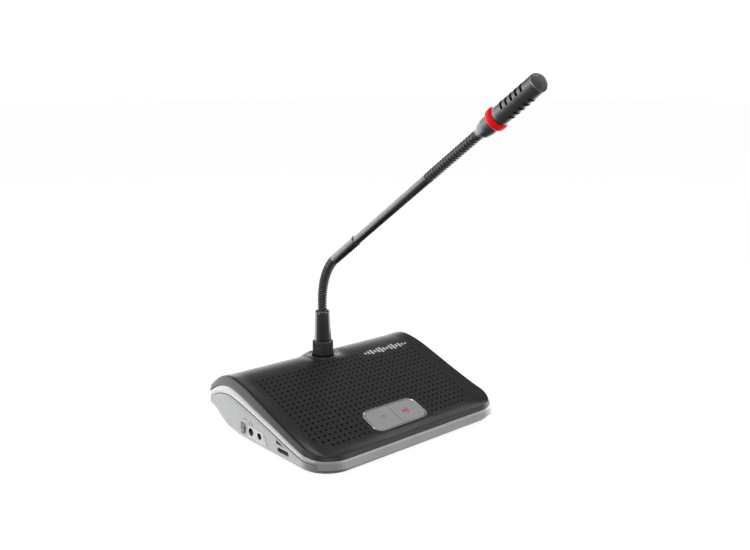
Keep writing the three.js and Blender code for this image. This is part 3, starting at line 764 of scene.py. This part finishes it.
# Past the crease: (inset, drop below the rim) over a fine groove, then a rounded edge.
CREASE = [
    (2.95, 0.0), (2.85, 0.42), (2.45, 0.42), (2.35, 0.0), (2.05, 0.02), (1.75, 0.16), (1.5, 0.42),
    (1.36, 0.85),
]


def make_cover():
    skin = Skin()
    vertex = {}
    for j in range(ROWS + 1):
        for i in range(COLUMNS + 1):
            x = (i - COLUMNS / 2) * PITCH_X
            y = (j - FIRST_HOLE_ROW - HOLE_ROWS / 2) * PITCH_Y
            vertex[i, j] = skin.add(x, y, cover_surface(x, y))
    blocks = {"button": [], "ring": []}
    for row in range(ROWS):
        for column in range(COLUMNS):
            kind = cell_kind(column, row)
            corners = [vertex[corner] for corner in cell_corners(column, row)]
            if kind in blocks:
                blocks[kind].append((column, row))
            elif kind == "hole":
                skin.hole_cell(corners)
            else:
                skin.faces.append(corners)

    window = to_window(
        Vector((0, BUTTON_Y)), BEZEL_SIZE[0] / 2 + WINDOW_GAP,
        (BEZEL_SIZE[1] / 2 + WINDOW_GAP) * math.cos(BUTTON_TILT), WINDOW_RADIUS)

    def window_height(x, y, t):
        return lerp(cover_surface(x, y), button_plane(y), smoothstep(t, 0.0, 0.9))

    fill_block(skin, block_loop(blocks["button"], vertex), window, window_height, (0.3, 0.6, 0.85, 1))
    ring = to_round(Vector((RING_CENTRE.x, RING_CENTRE.y)), RING_BORE)
    fill_block(skin, block_loop(blocks["ring"], vertex), ring,
               lambda x, y, t: cover_surface(x, y), (0.3, 0.55, 0.8, 1))

    rim_loop = [vertex[i, 0] for i in range(COLUMNS)]
    rim_loop += [vertex[COLUMNS, j] for j in range(ROWS)]
    rim_loop += [vertex[i, ROWS] for i in range(COLUMNS, 0, -1)]
    rim_loop += [vertex[0, j] for j in range(ROWS, 0, -1)]
    rings = []
    for t in (0.2, 0.4, 0.6, 0.8, 1.0):
        def place(q, k, t=t):
            x, y, nx, ny = EDGE[k]
            goal = Vector((x - nx * CREASE_INSET, y - ny * CREASE_INSET))
            p = q.lerp(goal, t)
            return p.x, p.y, cover_surface(p.x, p.y)
        rings.append(skin.split_ring(rim_loop, place))
    skin.join_loop(rim_loop, rings[0], outward=True)

    def rim_place(inset, height):
        def place(_, k):
            x, y, nx, ny = EDGE[k]
            return x - nx * inset, y - ny * inset, height(x, y, x - nx * inset, y - ny * inset)
        return place

    for inset, drop in CREASE:
        rings.append(skin.split_ring(rim_loop, rim_place(
            inset, lambda x, y, px, py, drop=drop: top_height(px, py) - drop)))
    for t, inset in ((0.35, 0.9), (0.7, 0.45), (0.93, 0.18)):
        rings.append(skin.split_ring(rim_loop, rim_place(
            inset, lambda x, y, px, py, t=t: lerp(top_height(px, py) - 0.85, cover_height(y) + SEAM, t))))
    for inset, lift in ((0.3, 0.08), (0.7, 0.0)):
        rings.append(skin.split_ring(rim_loop, rim_place(
            inset, lambda x, y, px, py, lift=lift: cover_height(y) + SEAM + lift)))
    for inner, outer in zip(rings, rings[1:]):
        skin.join_rings(inner, outer)
    points = [unit_point(*p) for p in skin.points]
    cover = mesh_object("top_cover_shell", points, skin.faces, "cover_black")
    thicken(cover, COVER_WALL)
    show(cover, "base", "cover_black", "top_cover")


def make_dust_cloth():
    """Black cloth under the sound holes."""
    depth = 2.5
    columns, rows = 16, 20
    low_y, high_y = -42.0, 43.0
    half = HALF_WIDTH - 12
    cloth_rings = []
    for j in range(rows + 1):
        y = lerp(low_y, high_y, j / rows)
        across = [lerp(-half, half, i / columns) for i in range(columns + 1)]
        top = [unit_point(x, y, top_height(x, y) - depth) for x in across]
        under = [unit_point(x, y, top_height(x, y) - depth - 0.3) for x in reversed(across)]
        cloth_rings.append(under + top)
    cloth = loft("dust_cloth", cloth_rings, "gauze")
    window = prism("window", rounded_rect(58, 27, 8), -12, 12, BUTTON_FRAME, "gauze")
    cut(cloth, [window])
    show(cloth, "base", "gauze")


def make_mark():
    """A generic sound-wave mark of upright bars, on the cover's right rear."""
    heights = [2.6, 4.4, 7.0, 3.8, 6.2, 8.2, 5.0, 3.2, 6.8, 8.4, 4.2, 6.4, 3.0, 2.4]
    bars = []
    left, right, middle_y = 33.0, 81.0, 41.2
    slope = panel_slope(middle_y)
    for k, height in enumerate(heights):
        x = lerp(left, right, k / (len(heights) - 1))
        where = tipped_frame(unit_point(x, middle_y, cover_surface(x, middle_y)), slope)
        bars.append(prism(f"bar_{k}", rounded_rect(2.1, height, 0.9, 4), -0.3, 0.12, where, "mark_white"))
    show(merged("sound_wave_mark", bars, "mark_white"), "base", "trim_silver")


# ---- trim and lower shell
def make_trim():
    """The silver band: an upper and a lower face that meet in a low ridge."""
    def row(inset, share, shift=0.0):
        def profile(y):
            low, high = trim_height(y) + SEAM, cover_height(y) - SEAM
            return inset, lerp(low, high, share) + shift
        return profile

    profile = [
        row(2.9, 0.0), row(0.75, 0.0), row(0.42, 0.0, 0.12), row(0.3, 0.0, 0.4), row(0.12, 0.38),
        row(0.02, 0.46), row(0.1, 0.54), row(0.42, 1.0, -0.45), row(0.6, 1.0, -0.12), row(0.95, 1.0),
        row(2.9, 1.0),
    ]
    rings = [edge_ring(line) for line in profile]
    trim = loft("side_trim_band", rings, "trim_silver", closed=True)
    show(trim, "base", "trim_silver", "side_trim")


FOOT_LEVEL = 1.5
EDGE_DROP = 6.0
SHELL_WALL = 2.2
# Local frame of the left wall: x runs to the rear, y runs up and z points out of the wall.
WALL_FRAME = Matrix.Translation(unit_point(-HALF_WIDTH, 0, 0)) @ Matrix(
    ((0, 0, -1, 0), (-1, 0, 0, 0), (0, 1, 0, 0), (0, 0, 0, 1))) @ Matrix.Scale(MM, 4)


def wall_prism(name, outline, low, high, finish="part_plastic"):
    """A block on the left wall over (y, z) points, from a depth to a height above the wall."""
    mirrored = [(-y, z) for y, z in outline]
    return prism(name, mirrored, low, high, WALL_FRAME, finish)


wheel_place = unit_place("volume_wheel")
JACKS = [("headphone_jack", 3.2, 2.75), ("line_jack", 2.7, 2.3)]
CARD_SLOT = [(-7.3, 15.6), (-18.5, 12.2), (-7.3, 12.6)]
PORT_PLATE = [(30.6, 15.6, 1.0), (30.9, 5.3, 1.0), (4.5, 5.0, 1.0), (10.2, 15.2, 1.5)]
USB_SIZE = (14.6, 3.6)
USB_PLACE = (-16, 8.4)
PORT_LINE = 10.8                      # height of the wheel's and the jacks' middles
LINK_TILT = 0.52
LINK_SOCKET_NODES = ("link_socket_in", "link_socket_out")
LINK_SOCKET_Y = 69
PLACES = ("front_left", "front_right", "rear_left", "rear_right")
SCREW_NODES = [f"case_screw_{place}" for place in PLACES]
FOOT_NODES = [f"foot_{place}" for place in PLACES]


def closed_fillet(points, steps=5):
    """Rounds every corner of a closed outline of (a, b, radius) points."""
    wrapped = [points[-1], *points, points[0]]
    return fillet(wrapped, steps)[1:-1]


def link_frame(node):
    x = unit_place(node).x
    return tipped_frame(unit_point(x, LINK_SOCKET_Y, base_height(LINK_SOCKET_Y)), LINK_TILT)


def wall_shape(name, place, shape, low, high, finish="part_plastic"):
    """A block on the left wall, of a shape drawn round a (y, z) place."""
    outline = [(place[0] - a, place[1] + b) for a, b in shape]
    return wall_prism(name, outline, low, high, finish)


def jack_place(node):
    return unit_place(node).y, PORT_LINE


def jack_tools():
    return [wall_shape(node, jack_place(node), disc(rim, 32), -6, 2) for node, rim, _ in JACKS]


def port_tools():
    tools = [wall_shape("room", (wheel_place.y, PORT_LINE), rounded_rect(6.6, 9.6, 1.4), -12, 2)]
    tools += jack_tools()
    tools.append(wall_prism("card", CARD_SLOT, -6, 2))
    usb = rounded_rect(*USB_SIZE, USB_SIZE[1] / 2 - 0.05)
    tools.append(wall_shape("usb", USB_PLACE, usb, -6, 2))
    return tools


def make_shell():
    def top(inset, drop):
        return lambda y: (inset, trim_height(y) - SEAM - drop)

    def edge_drop(y):
        return max(FOOT_LEVEL + EDGE_DROP - base_height(y), 1.4)

    def between(share):
        def profile(y):
            low, high = base_height(y) + edge_drop(y), trim_height(y) - SEAM - 0.5
            return 0.0, lerp(high, max(low, 0), share) if low < high else high
        return profile

    def lower(turn):
        angle = math.radians(turn)
        def profile(y):
            drop = edge_drop(y)
            return 0.5 * drop * (1 - math.cos(angle)), base_height(y) + drop * (1 - math.sin(angle))
        return profile

    profile = [top(0.45, 0.0), top(0.12, 0.12), top(0.0, 0.4)]
    profile += [between(share) for share in (0.25, 0.5, 0.75)]
    profile += [lower(turn) for turn in (0, 15, 30, 45, 60, 75, 90)]
    rings = [edge_ring(line) for line in profile]
    centre = unit_point(0, 14, 0)
    inward = 15
    for k in range(1, inward):
        t = k / inward
        ring = []
        for p in rings[len(profile) - 1]:
            q = p.lerp(centre, t)
            q.z = base_height(q.y / MM - MIDDLE_Y) * MM
            ring.append(q)
        rings.append(ring)
    shell = loft("lower_shell_tub", list(reversed(rings)), "shell_grey", cap_end=False)
    thicken(shell, SHELL_WALL)
    tools = port_tools()
    for node in LINK_SOCKET_NODES:
        tools.append(prism(node, disc(8.3, 40), -8, 8, link_frame(node), "shell_grey"))
    for name in SCREW_NODES:
        tools.append(prism(name, disc(3.2, 28), 0, 6, upright_frame(name), "shell_grey"))
    cut(shell, tools)
    show(shell, "base", "shell_grey", "lower_shell")


def make_port_plate():
    """A raised plate round the two jacks, coloured lighter than the shell as a painted highlight for the light
    falling on it.
    """
    plate = wall_prism("port_plate", closed_fillet(PORT_PLATE), -0.4, 0.16, "port_light")
    cut(plate, jack_tools())
    show(plate, "base", "shell_grey")


# ---- ports
def make_jacks():
    for node, rim, bore in JACKS:
        inwards = axis_frame(unit_point(-HALF_WIDTH, *jack_place(node)), (1, 0, 0))
        profile = [
            (1.8, 9.0), (1.8, 1.6), (bore - 0.2, 1.2), (bore, 0.75), (rim - 0.25, 0.35), (rim - 0.12, 0.5),
            (rim - 0.1, 9.0),
        ]
        rounded = fillet([(r, z, 0.15) for r, z in profile], 2)
        barrel = lathe(f"{node}_barrel", rounded, "part_plastic", inwards, 40, closed=True)
        back = prism(f"{node}_back", disc(4.0, 24), 9.0, 12.0, inwards, "part_plastic")
        show(merged(f"{node}_socket", [barrel, back], "part_plastic"), "base", "part_plastic", node)


def make_usb():
    shell = wall_shape("usb_shell", USB_PLACE, rounded_rect(13.6, 2.7, 1.2), -11, -2.2, "steel")
    cut(shell, [wall_shape("mouth", USB_PLACE, rounded_rect(13.0, 2.1, 0.95), -10, 0)])
    tongue = wall_shape("tongue", USB_PLACE, rounded_rect(11.2, 0.8, 0.3), -10.5, -3.2)
    show(shell, "base", "steel", "usb_socket")
    show(tongue, "base", "part_plastic")


def make_wheel():
    """The ribbed volume wheel."""
    wheel_low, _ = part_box("volume_wheel")
    radius = 6.4
    origin = unit_point(wheel_low.x / MM + radius, wheel_place.y, PORT_LINE)
    ribs = 36

    def shape(angle, r, z):
        if r < radius - 0.6:
            return max(r, 0.01)
        return r - 0.38 * (0.5 + 0.5 * math.cos(ribs * angle)) ** 0.6

    half = 2.7
    rings = fillet([(0, -half), (radius, -half, 0.7), (radius, half, 0.7), (0, half)], 4)
    where = axis_frame(origin, (0, 1, 0))
    wheel = lathe("volume_wheel_disc", rings, "wheel_black", where, 288, shape=shape)
    show(wheel, "volume_wheel", "wheel_black", "volume_wheel")


def make_icons():
    """Small printed signs over the wheel and the headphone jack: a rising bar and a headband."""
    bars = [(36.6 - 1.5 * k, 18.4, 0.7, 1.2 + 0.8 * k) for k in range(3)]
    signs = []
    for k, (y, z, width, height) in enumerate(bars):
        shape = rounded_rect(width, height, 0.2, 3)
        signs.append(wall_shape(f"volume_bar_{k}", (y, z + height / 2), shape, -0.2, 0.07, "mark_grey"))
    centre_y, centre_z, outer, inner = jack_place("headphone_jack")[0], 17.6, 2.3, 1.75
    arc = [math.radians(12 * k) for k in range(16)]
    band = [(centre_y + outer * math.cos(a), centre_z + outer * math.sin(a)) for a in arc]
    band += [(centre_y + inner * math.cos(a), centre_z + inner * math.sin(a)) for a in reversed(arc)]
    signs.append(wall_prism("headband", band, -0.2, 0.07, "mark_grey"))
    for side in (-1, 1):
        place, shape = (centre_y + side * 2.0, centre_z - 0.6), rounded_rect(1.1, 1.8, 0.4, 3)
        signs.append(wall_shape(f"ear_{side}", place, shape, -0.2, 0.07, "mark_grey"))
    show(merged("port_signs", signs, "mark_grey"), "base", "wheel_black")


def make_link_sockets():
    """Round eight-pin sockets under the rear edge."""
    for node in LINK_SOCKET_NODES:
        where = link_frame(node)
        profile = fillet([
            (0, 11), (6.4, 11), (6.4, 5), (8.0, 5), (8.0, -0.8, 0.5), (6.2, -0.8, 0.4), (6.2, 3.4), (0, 3.4),
        ], 3)
        body = lathe(f"{node}_ring", profile[::-1], "part_plastic", where, 56)
        pins = []
        for k in range(7):
            angle = math.radians(-135 + 45 * k)
            x, y = 3.8 * math.cos(angle), 3.8 * math.sin(angle)
            pins.append(prism(f"pin_{k}", disc(0.5, 12, x, y), 0.6, 4.0, where, "brass"))
        pins.append(prism("pin_middle", disc(0.5, 12), 0.6, 4.0, where, "brass"))
        show(body, "base", "part_plastic", node)
        show(merged(f"{node}_pins", pins, "brass"), "base", "brass")


def make_feet():
    for node in FOOT_NODES:
        profile = fillet([
            (0, 0.35), (3.6, 0.35, 0.2), (4.0, 0.0, 0.1), (6.7, 0.0, 0.3), (7.0, 1.2, 0.2), (0, 1.2),
        ], 3)
        foot = lathe(f"{node}_pad", profile, "foot_rubber", upright_frame(node), 56)
        show(foot, "base", "foot_rubber", node)


def make_screws():
    for node in SCREW_NODES:
        where = upright_frame(node)
        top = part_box(node)[1].z / MM
        profile = fillet([
            (0, 3.6), (1.9, 3.7, 0.3), (2.9, 4.6, 0.3), (2.9, 5.6), (1.4, 5.6), (1.4, top), (0, top),
        ], 3)
        screw = lathe(f"{node}_body", profile, "steel", where, 36)
        tools = [prism(f"slot_{k}", rounded_rect(*size, 0.2, 3), 3, 4.9, where, "steel")
                 for k, size in enumerate(((3.4, 0.7), (0.7, 3.4)))]
        cut(screw, tools)
        show(screw, "base", "steel", node)


# ---- buttons
BLOCK_WIDTH, BLOCK_DEPTH, BLOCK_RADIUS = 54.0, 22.8, 6.4


def on_buttons(outline, z):
    """An outline of (x, y) points at a height in the buttons' frame."""
    return [BUTTON_FRAME @ Vector((x, y, z)) for x, y in outline]


def make_bezel():
    outer = rounded_rect(BLOCK_WIDTH + 2.6, BLOCK_DEPTH + 2.6, BLOCK_RADIUS + 1.3, 12)
    inner = rounded_rect(BLOCK_WIDTH, BLOCK_DEPTH, BLOCK_RADIUS, 12)
    rows = [
        (0.0, -3.4), (0.0, 0.15), (0.12, 0.42), (0.4, 0.6), (0.75, 0.6), (0.95, 0.42), (1.0, 0.1),
        (1.0, -3.4),
    ]
    rings = []
    for t, z in rows:
        ring = [(lerp(a[0], b[0], t), lerp(a[1], b[1], t)) for a, b in zip(outer, inner)]
        rings.append(on_buttons(ring, z))
    bezel = loft("button_bezel_ring", rings, "bezel_chrome", closed=True)
    show(bezel, "base", "bezel_chrome", "button_bezel")


def cap_outline(side, inset):
    """Half of the rounded block, with nearly square corners at the split."""
    near, far = 0.3 + inset, BLOCK_WIDTH / 2 - 0.35 - inset
    half = BLOCK_DEPTH / 2 - 0.35 - inset
    radius = BLOCK_RADIUS - inset
    points = []
    corners = (
        (near, -half, 0.5, 180), (far, -half, radius, 270), (far, half, radius, 0), (near, half, 0.5, 90),
    )
    for x, y, r, start in corners:
        cx = x + r if x == near else x - r
        cy = y + r if y < 0 else y - r
        for k in range(11):
            angle = math.radians(start + 9 * k)
            points.append((cx + r * math.cos(angle), cy + r * math.sin(angle)))
    if side < 0:
        points = [(-x, y) for x, y in reversed(points)]
    return points


def make_button(node, side):
    """A cap with rolled edges and a gently crowned top."""
    rows = [
        (0.0, -2.5), (0.0, 0.3), (0.06, 0.55), (0.22, 0.76), (0.5, 0.88), (1.0, 0.93), (2.4, 0.97),
        (4.5, 1.0),
    ]
    rings = [on_buttons(cap_outline(side, inset), z) for inset, z in rows]
    cap = loft(f"{node}_cap", rings, "button_silver")
    stem_frame = BUTTON_FRAME @ Matrix.Translation((side * BLOCK_WIDTH / 4, 0, 0))
    stem = prism("stem", disc(2.6, 24), -4.5, -2.5, stem_frame, "button_silver")
    show(merged(f"{node}_key", [cap, stem], "button_silver"), node, "button_silver", node)


def arc_band(x, y, radius, width, start, end, steps=12):
    angles = [math.radians(lerp(start, end, k / steps)) for k in range(steps + 1)]
    outer, inner = radius + width / 2, radius - width / 2
    points = [(x + outer * math.cos(a), y + outer * math.sin(a)) for a in angles]
    return points + [(x + inner * math.cos(a), y + inner * math.sin(a)) for a in reversed(angles)]


def make_button_signs():
    """A raised ring-shaped diamond on the left key and a red talk sign on the right one."""
    top = 1.0
    x, y = -11.6, 0.6
    outer, inner = ([
        (x + reach, y), (x, y + reach * 0.8), (x - reach, y), (x, y - reach * 0.8),
    ] for reach in (2.6, 1.9))
    low, high = top - 0.3, top + 0.1
    rings = [on_buttons(*row) for row in ((outer, low), (outer, high), (inner, high), (inner, low))]
    sign = loft("priority_sign", rings, "sign_grey", closed=True)
    show(sign, "priority_button", "button_silver")
    x, y = 11.0, -0.3
    parts = [prism("dot", disc(1.25, 20, x - 1.6, y), low, high, BUTTON_FRAME, "mark_red")]
    for k, radius in enumerate((2.5, 4.0)):
        outline = arc_band(x - 1.6, y, radius, 0.75, -50, 50)
        parts.append(prism(f"arc_{k}", outline, low, high, BUTTON_FRAME, "mark_red"))
    show(merged("speak_sign", parts, "mark_red"), "speak_button", "led_red")


# ---- socket, collar and plug
SOCKET_AXIS = upright_frame("socket_ring")


def make_socket_ring():
    profile = [
        (9.8, 43.8), (13.6, 43.8), (14.8, 46.0, 0.2), (14.5, 46.6, 0.3), (13.6, 46.75, 0.3),
        (13.0, 46.35, 0.3), (12.0, 46.3, 0.3), (11.5, 46.75, 0.3), (10.7, 46.7, 0.3), (9.8, 46.0, 0.3),
    ]
    ring = lathe("socket_ring_seat", fillet(profile, 3), "ring_satin", SOCKET_AXIS, 96, closed=True)
    show(ring, "base", "cover_black", "socket_ring")


def make_collar():
    low, high = (corner.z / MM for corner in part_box("lock_collar"))
    radius, ribs = 9.0, 30

    def shape(angle, r, z):
        if r < radius - 1.2:
            return r
        wave = 0.5 + 0.5 * math.cos(ribs * angle)
        return r - 0.85 * (1 - wave)

    profile = fillet([
        (6.8, low), (8.3, low, 0.2), (9.0, low + 0.7, 0.3), (9.0, high - 0.9, 0.4), (8.1, high, 0.3),
        (6.8, high),
    ], 3)
    collar = lathe("lock_collar_knurl", profile, "coil_black", SOCKET_AXIS, 360, closed=True, shape=shape)
    show(collar, "lock_collar", "neck_black", "lock_collar")


CONE_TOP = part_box("plug_body")[0].z / MM + 41.9


def make_plug():
    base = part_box("lock_collar")[1].z / MM
    profile = fillet([
        (0, base - 14), (6.3, base - 14), (6.3, base + 0.2), (7.3, base + 0.2, 0.2), (7.7, base + 1.0, 0.4),
        (7.2, base + 13), (6.75, CONE_TOP - 3.0, 1.5), (6.5, CONE_TOP - 1.0, 0.8), (5.6, CONE_TOP - 0.1, 0.5),
        (4.5, CONE_TOP + 0.1, 0.2), (4.2, CONE_TOP - 0.6, 0.2), (0, CONE_TOP - 0.6),
    ], 4)
    plug = lathe("plug_cone", profile, "neck_black", SOCKET_AXIS, 96)
    show(plug, "base", "neck_black", "plug_body")


# ---- gooseneck
JOINTS = {joint["name"]: joint for joint in frame["joints"]}


def section_joints(section):
    """The hinges of a flexible section in order, base first."""
    names = [name for name in JOINTS if name.startswith(section)]
    return sorted((JOINTS[name] for name in names), key=lambda joint: joint["pos_m"][1], reverse=True)


lower_joints = section_joints("lower_neck")
upper_joints = section_joints("upper_neck")
lower_balls = [Vector(joint["pos_m"]) for joint in lower_joints]
upper_balls = [Vector(joint["pos_m"]) for joint in upper_joints]
STEM = (upper_balls[0] - lower_balls[-1]).normalized()
SLEEVE_START, SLEEVE_END = 3.0, 37.4
TUBE_END = 136.6
HEAD_START = 5.0
COIL_SIDES = 36
COIL_STEP = 0.22                      # millimetres between rings along a coil
COIL_WIRE = 0.68                      # share of the pitch that the wire fills


def bend_curve(start, control, end, t):
    point = start * (1 - t) ** 2 + control * 2 * t * (1 - t) + end * t * t
    tangent = ((control - start) * (1 - t) + (end - control) * t).normalized()
    return point, tangent


def make_section(section, joints, start, end, radius, core, pitch):
    """A wound coil over a flexible section, one piece round each hinge."""
    balls = [Vector(joint["pos_m"]) for joint in joints]
    stops = [start] + [(a + b) / 2 for a, b in zip(balls, balls[1:])] + [end]
    travelled = 0.0
    side = Vector((1, 0, 0))
    for k, joint in enumerate(joints):
        first, ball, last = stops[k], balls[k], stops[k + 1]
        length = ((ball - first).length + (last - ball).length) / MM
        count = round(length / COIL_STEP)
        rings = []
        for i in range(count + 1):
            t = i / count
            point, tangent = bend_curve(first, ball, last, t)
            normal = tangent.cross(side)
            ring = []
            for n in range(COIL_SIDES):
                angle = 2 * math.pi * n / COIL_SIDES
                phase = (travelled + length * t) / pitch - n / COIL_SIDES
                across = 2 * (phase - math.floor(phase)) - 1
                reach = core + (radius - core) * math.sqrt(max(1 - (across / COIL_WIRE) ** 2, 0))
                away = side * math.cos(angle) - normal * math.sin(angle)
                ring.append(point + away * reach * MM)
            rings.append(ring)
        travelled += length
        piece = loft(f"{section}_coil_{k + 1}", rings, "coil_black", sharp=75)
        last.lerp(ball, 0.12)
        first.lerp(ball, 0.12)
        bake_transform(piece)
        link = f"{section}_link_{k + 1}"
        if link in NODES:
            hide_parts(link)


def make_neck():
    start = unit_point(0, RING_CENTRE.y, CONE_TOP - 0.3)
    sleeve_from = lower_balls[-1] + STEM * SLEEVE_START * MM
    make_section("lower", lower_joints, start, sleeve_from, 4.2, 3.0, 2.1)
    stem = axis_frame(lower_balls[-1], STEM)
    sleeve = lathe("neck_sleeve_body", fillet([
        (0, SLEEVE_START - 0.4), (3.9, SLEEVE_START - 0.4), (4.35, SLEEVE_START - 0.6, 0.15),
        (4.75, SLEEVE_START + 0.2, 0.4), (4.65, SLEEVE_START + 10), (4.55, SLEEVE_END - 0.8, 0.5),
        (4.1, SLEEVE_END, 0.2), (0, SLEEVE_END),
    ], 4), "neck_black", stem, 72)
    show(sleeve, "stem", "neck_black", "neck_sleeve")
    tube = lathe("neck_tube_body", fillet([
        (0, SLEEVE_END + 0.05), (3.85, SLEEVE_END + 0.05), (4.0, SLEEVE_END + 0.4, 0.2),
        (4.0, TUBE_END - 0.5, 0.3), (3.75, TUBE_END, 0.15), (0, TUBE_END),
    ], 4), "neck_black", stem, 72)
    show(tube, "stem", "neck_black", "neck_tube")
    tube_to = lower_balls[-1] + STEM * (TUBE_END - 0.3) * MM
    head_from = upper_balls[-1] + STEM * (HEAD_START + 0.3) * MM
    make_section("upper", upper_joints, tube_to, head_from, 4.05, 2.8, 3.0)


# ---- microphone head
HEAD_AXIS = axis_frame(upper_balls[-1] + STEM * HEAD_START * MM, STEM)
CUP_LENGTH, LED_LENGTH, BARREL_LENGTH, CAP_HEIGHT = 15.6, 4.8, 38.4, 4.8
BARREL_START = CUP_LENGTH + LED_LENGTH
CAP_START = BARREL_START + BARREL_LENGTH
BARREL_RADIUS, LED_RADIUS = 7.2, 8.65
SLOT_STARTS = (10.2, 15.0, 19.8, 24.6, 29.4)
SLOT_CENTRES = (30, 150, 270)
SLOT_HALF_ARC = 34.5
SLOT_HALF_HEIGHT = 1.0


def make_head():
    cup = lathe("head_cup_body", fillet([
        (0, -0.3), (3.9, -0.3), (4.4, 0.0, 0.2), (4.75, 1.8, 1.5), (6.0, 4.6, 4.0), (6.75, 8.6, 4.0),
        (7.05, CUP_LENGTH - 0.6, 0.3), (6.7, CUP_LENGTH - 0.1, 0.1), (0, CUP_LENGTH - 0.1),
    ], 6), "head_black", HEAD_AXIS, 84)
    show(cup, "head", "head_black", "head_cup")
    led = lathe("led_ring_body", fillet([
        (5.2, CUP_LENGTH), (7.9, CUP_LENGTH, 0.2), (LED_RADIUS, CUP_LENGTH + 1.0, 0.9),
        (LED_RADIUS, BARREL_START - 1.0, 0.9), (7.9, BARREL_START, 0.2), (5.2, BARREL_START),
    ], 5), "led_red", HEAD_AXIS, 96, closed=True)
    show(led, "head", "led_red", "led_ring")
    make_barrel()
    make_mesh_cap()


def barrel_rows():
    """Each ring of the barrel: its height, the slot it bounds if any, and whether the slot is above it."""
    rows = [(0.1, None, False), (1.0, None, False), (4.0, None, False)]
    for slot in SLOT_STARTS:
        rows += [(slot - SLOT_HALF_HEIGHT, slot, True), (slot + SLOT_HALF_HEIGHT, slot, False)]
    return rows + [(z, None, False) for z in (33.0, BARREL_LENGTH - 0.5, BARREL_LENGTH - 0.05)]


def slot_offset(angle):
    """Degrees round the barrel from the nearest slot's middle."""
    return min(abs((angle - centre + 180) % 360 - 180) for centre in SLOT_CENTRES)


def make_barrel():
    """The tube with three rows of five slots, whose ends are rounded."""
    sides = 180
    rows = barrel_rows()
    points, faces = [], []
    for z, slot, _ in rows:
        for k in range(sides):
            angle = 360 * k / sides
            height = z
            into = (SLOT_HALF_ARC - slot_offset(angle)) * math.pi / 180 * BARREL_RADIUS
            if slot and 0 <= into < SLOT_HALF_HEIGHT:
                reach = math.sqrt(SLOT_HALF_HEIGHT ** 2 - (SLOT_HALF_HEIGHT - into) ** 2)
                height = slot + math.copysign(max(reach, 0.3), z - slot)
            radius = BARREL_RADIUS - (0.25 if z < 0.5 else 0.0)
            turn = math.radians(angle)
            local = Vector((radius * math.cos(turn), radius * math.sin(turn), BARREL_START + height))
            points.append(HEAD_AXIS @ local)
    for j, (_, _, is_slot) in enumerate(rows[:-1]):
        for k in range(sides):
            if is_slot and slot_offset(360 * (k + 0.5) / sides) < SLOT_HALF_ARC:
                continue
            n = (k + 1) % sides
            faces.append((j * sides + k, j * sides + n, (j + 1) * sides + n, (j + 1) * sides + k))
    barrel = mesh_object("mic_barrel_tube", points, faces, "head_black")
    thicken(barrel, 0.9)
    show(barrel, "head", "head_black", "mic_barrel")
    liner = lathe("slot_cloth", fillet([
        (4.9, BARREL_START + 1), (5.9, BARREL_START + 1), (5.9, CAP_START - 1), (4.9, CAP_START - 1)], 2),
        "gauze", HEAD_AXIS, 48, closed=True)
    show(liner, "head", "gauze", "slot_gauze")


def dome_height(r):
    """Height of the mesh dome over the barrel's end at a distance from the axis."""
    share = min(r / BARREL_RADIUS, 1.0)
    return CAP_START + CAP_HEIGHT * (1 - share ** 2.6) ** 0.8


def make_mesh_cap():
    """A woven wire dome: a square grid of wires over a dark foam core."""
    cells = 22
    edge = BARREL_RADIUS - 0.15
    points, faces = [], []
    for j in range(cells + 1):
        for i in range(cells + 1):
            u, v = 2 * i / cells - 1, 2 * j / cells - 1
            x = u * math.sqrt(1 - v * v / 2)
            y = v * math.sqrt(1 - u * u / 2)
            z = dome_height(math.hypot(x, y) * edge) + (0.1 if (i + j) % 2 else -0.1)
            points.append(HEAD_AXIS @ Vector((x * edge, y * edge, z)))
    for j in range(cells):
        for i in range(cells):
            corner = j * (cells + 1) + i
            faces.append((corner, corner + 1, corner + cells + 2, corner + cells + 1))
    dome = mesh_object("mesh_dome_wires", points, faces, "mesh_wire")
    wire = dome.modifiers.new("wire", "WIREFRAME")
    wire.thickness = 0.3 * MM
    wire.use_boundary = True
    wire.use_even_offset = False
    settle(dome, 60)
    band = lathe("band", fillet([
        (6.2, CAP_START - 0.6), (6.2, CAP_START + 0.5), (BARREL_RADIUS - 0.05, CAP_START + 0.5, 0.2),
        (BARREL_RADIUS, CAP_START + 0.02)], 2), "mesh_wire", HEAD_AXIS, 72, closed=True)
    show(merged("mesh_dome", [dome, band], "mesh_wire"), "head", "head_black", "mesh_cap")
    rows = [(r, dome_height(r) - 0.55) for r in (6.3, 6.0, 5.4, 4.5, 3.4, 2.2, 1.0)]
    foam = lathe("cap_foam", [(0, CAP_START - 1), (6.2, CAP_START - 1), *rows], "gauze", HEAD_AXIS, 40)
    show(foam, "head", "gauze")


# ---- pieces kept from the frame
# A finish for each CAD node that is shown as it is.
KEPT = {
    "steel": ["ballast_plate", "speaker_basket", "card_reader"],
    "board_green": ["main_board", "button_board"],
    "brass": [f"board_spacer_{k}" for k in range(1, 5)] + ["plug_insert", "mic_capsule"],
    "magnet_iron": ["speaker_magnet"],
    "paper": ["speaker_cone"],
    "part_plastic": ["priority_switch", "speak_switch", "volume_pot", "socket_body"],
}


def dress_kept_nodes():
    for finish, nodes in KEPT.items():
        for node in nodes:
            NODES[node].data.materials.clear()
            NODES[node].data.materials.append(FINISH[finish])


make_finishes()
make_stage()
make_lights()
make_cover()
make_dust_cloth()
make_mark()
make_trim()
make_shell()
make_port_plate()
make_jacks()
make_usb()
make_wheel()
make_icons()
make_link_sockets()
make_feet()
make_screws()
make_bezel()
make_button("priority_button", -1)
make_button("speak_button", 1)
make_button_signs()
make_socket_ring()
make_collar()
make_plug()
make_neck()
make_head()
dress_kept_nodes()
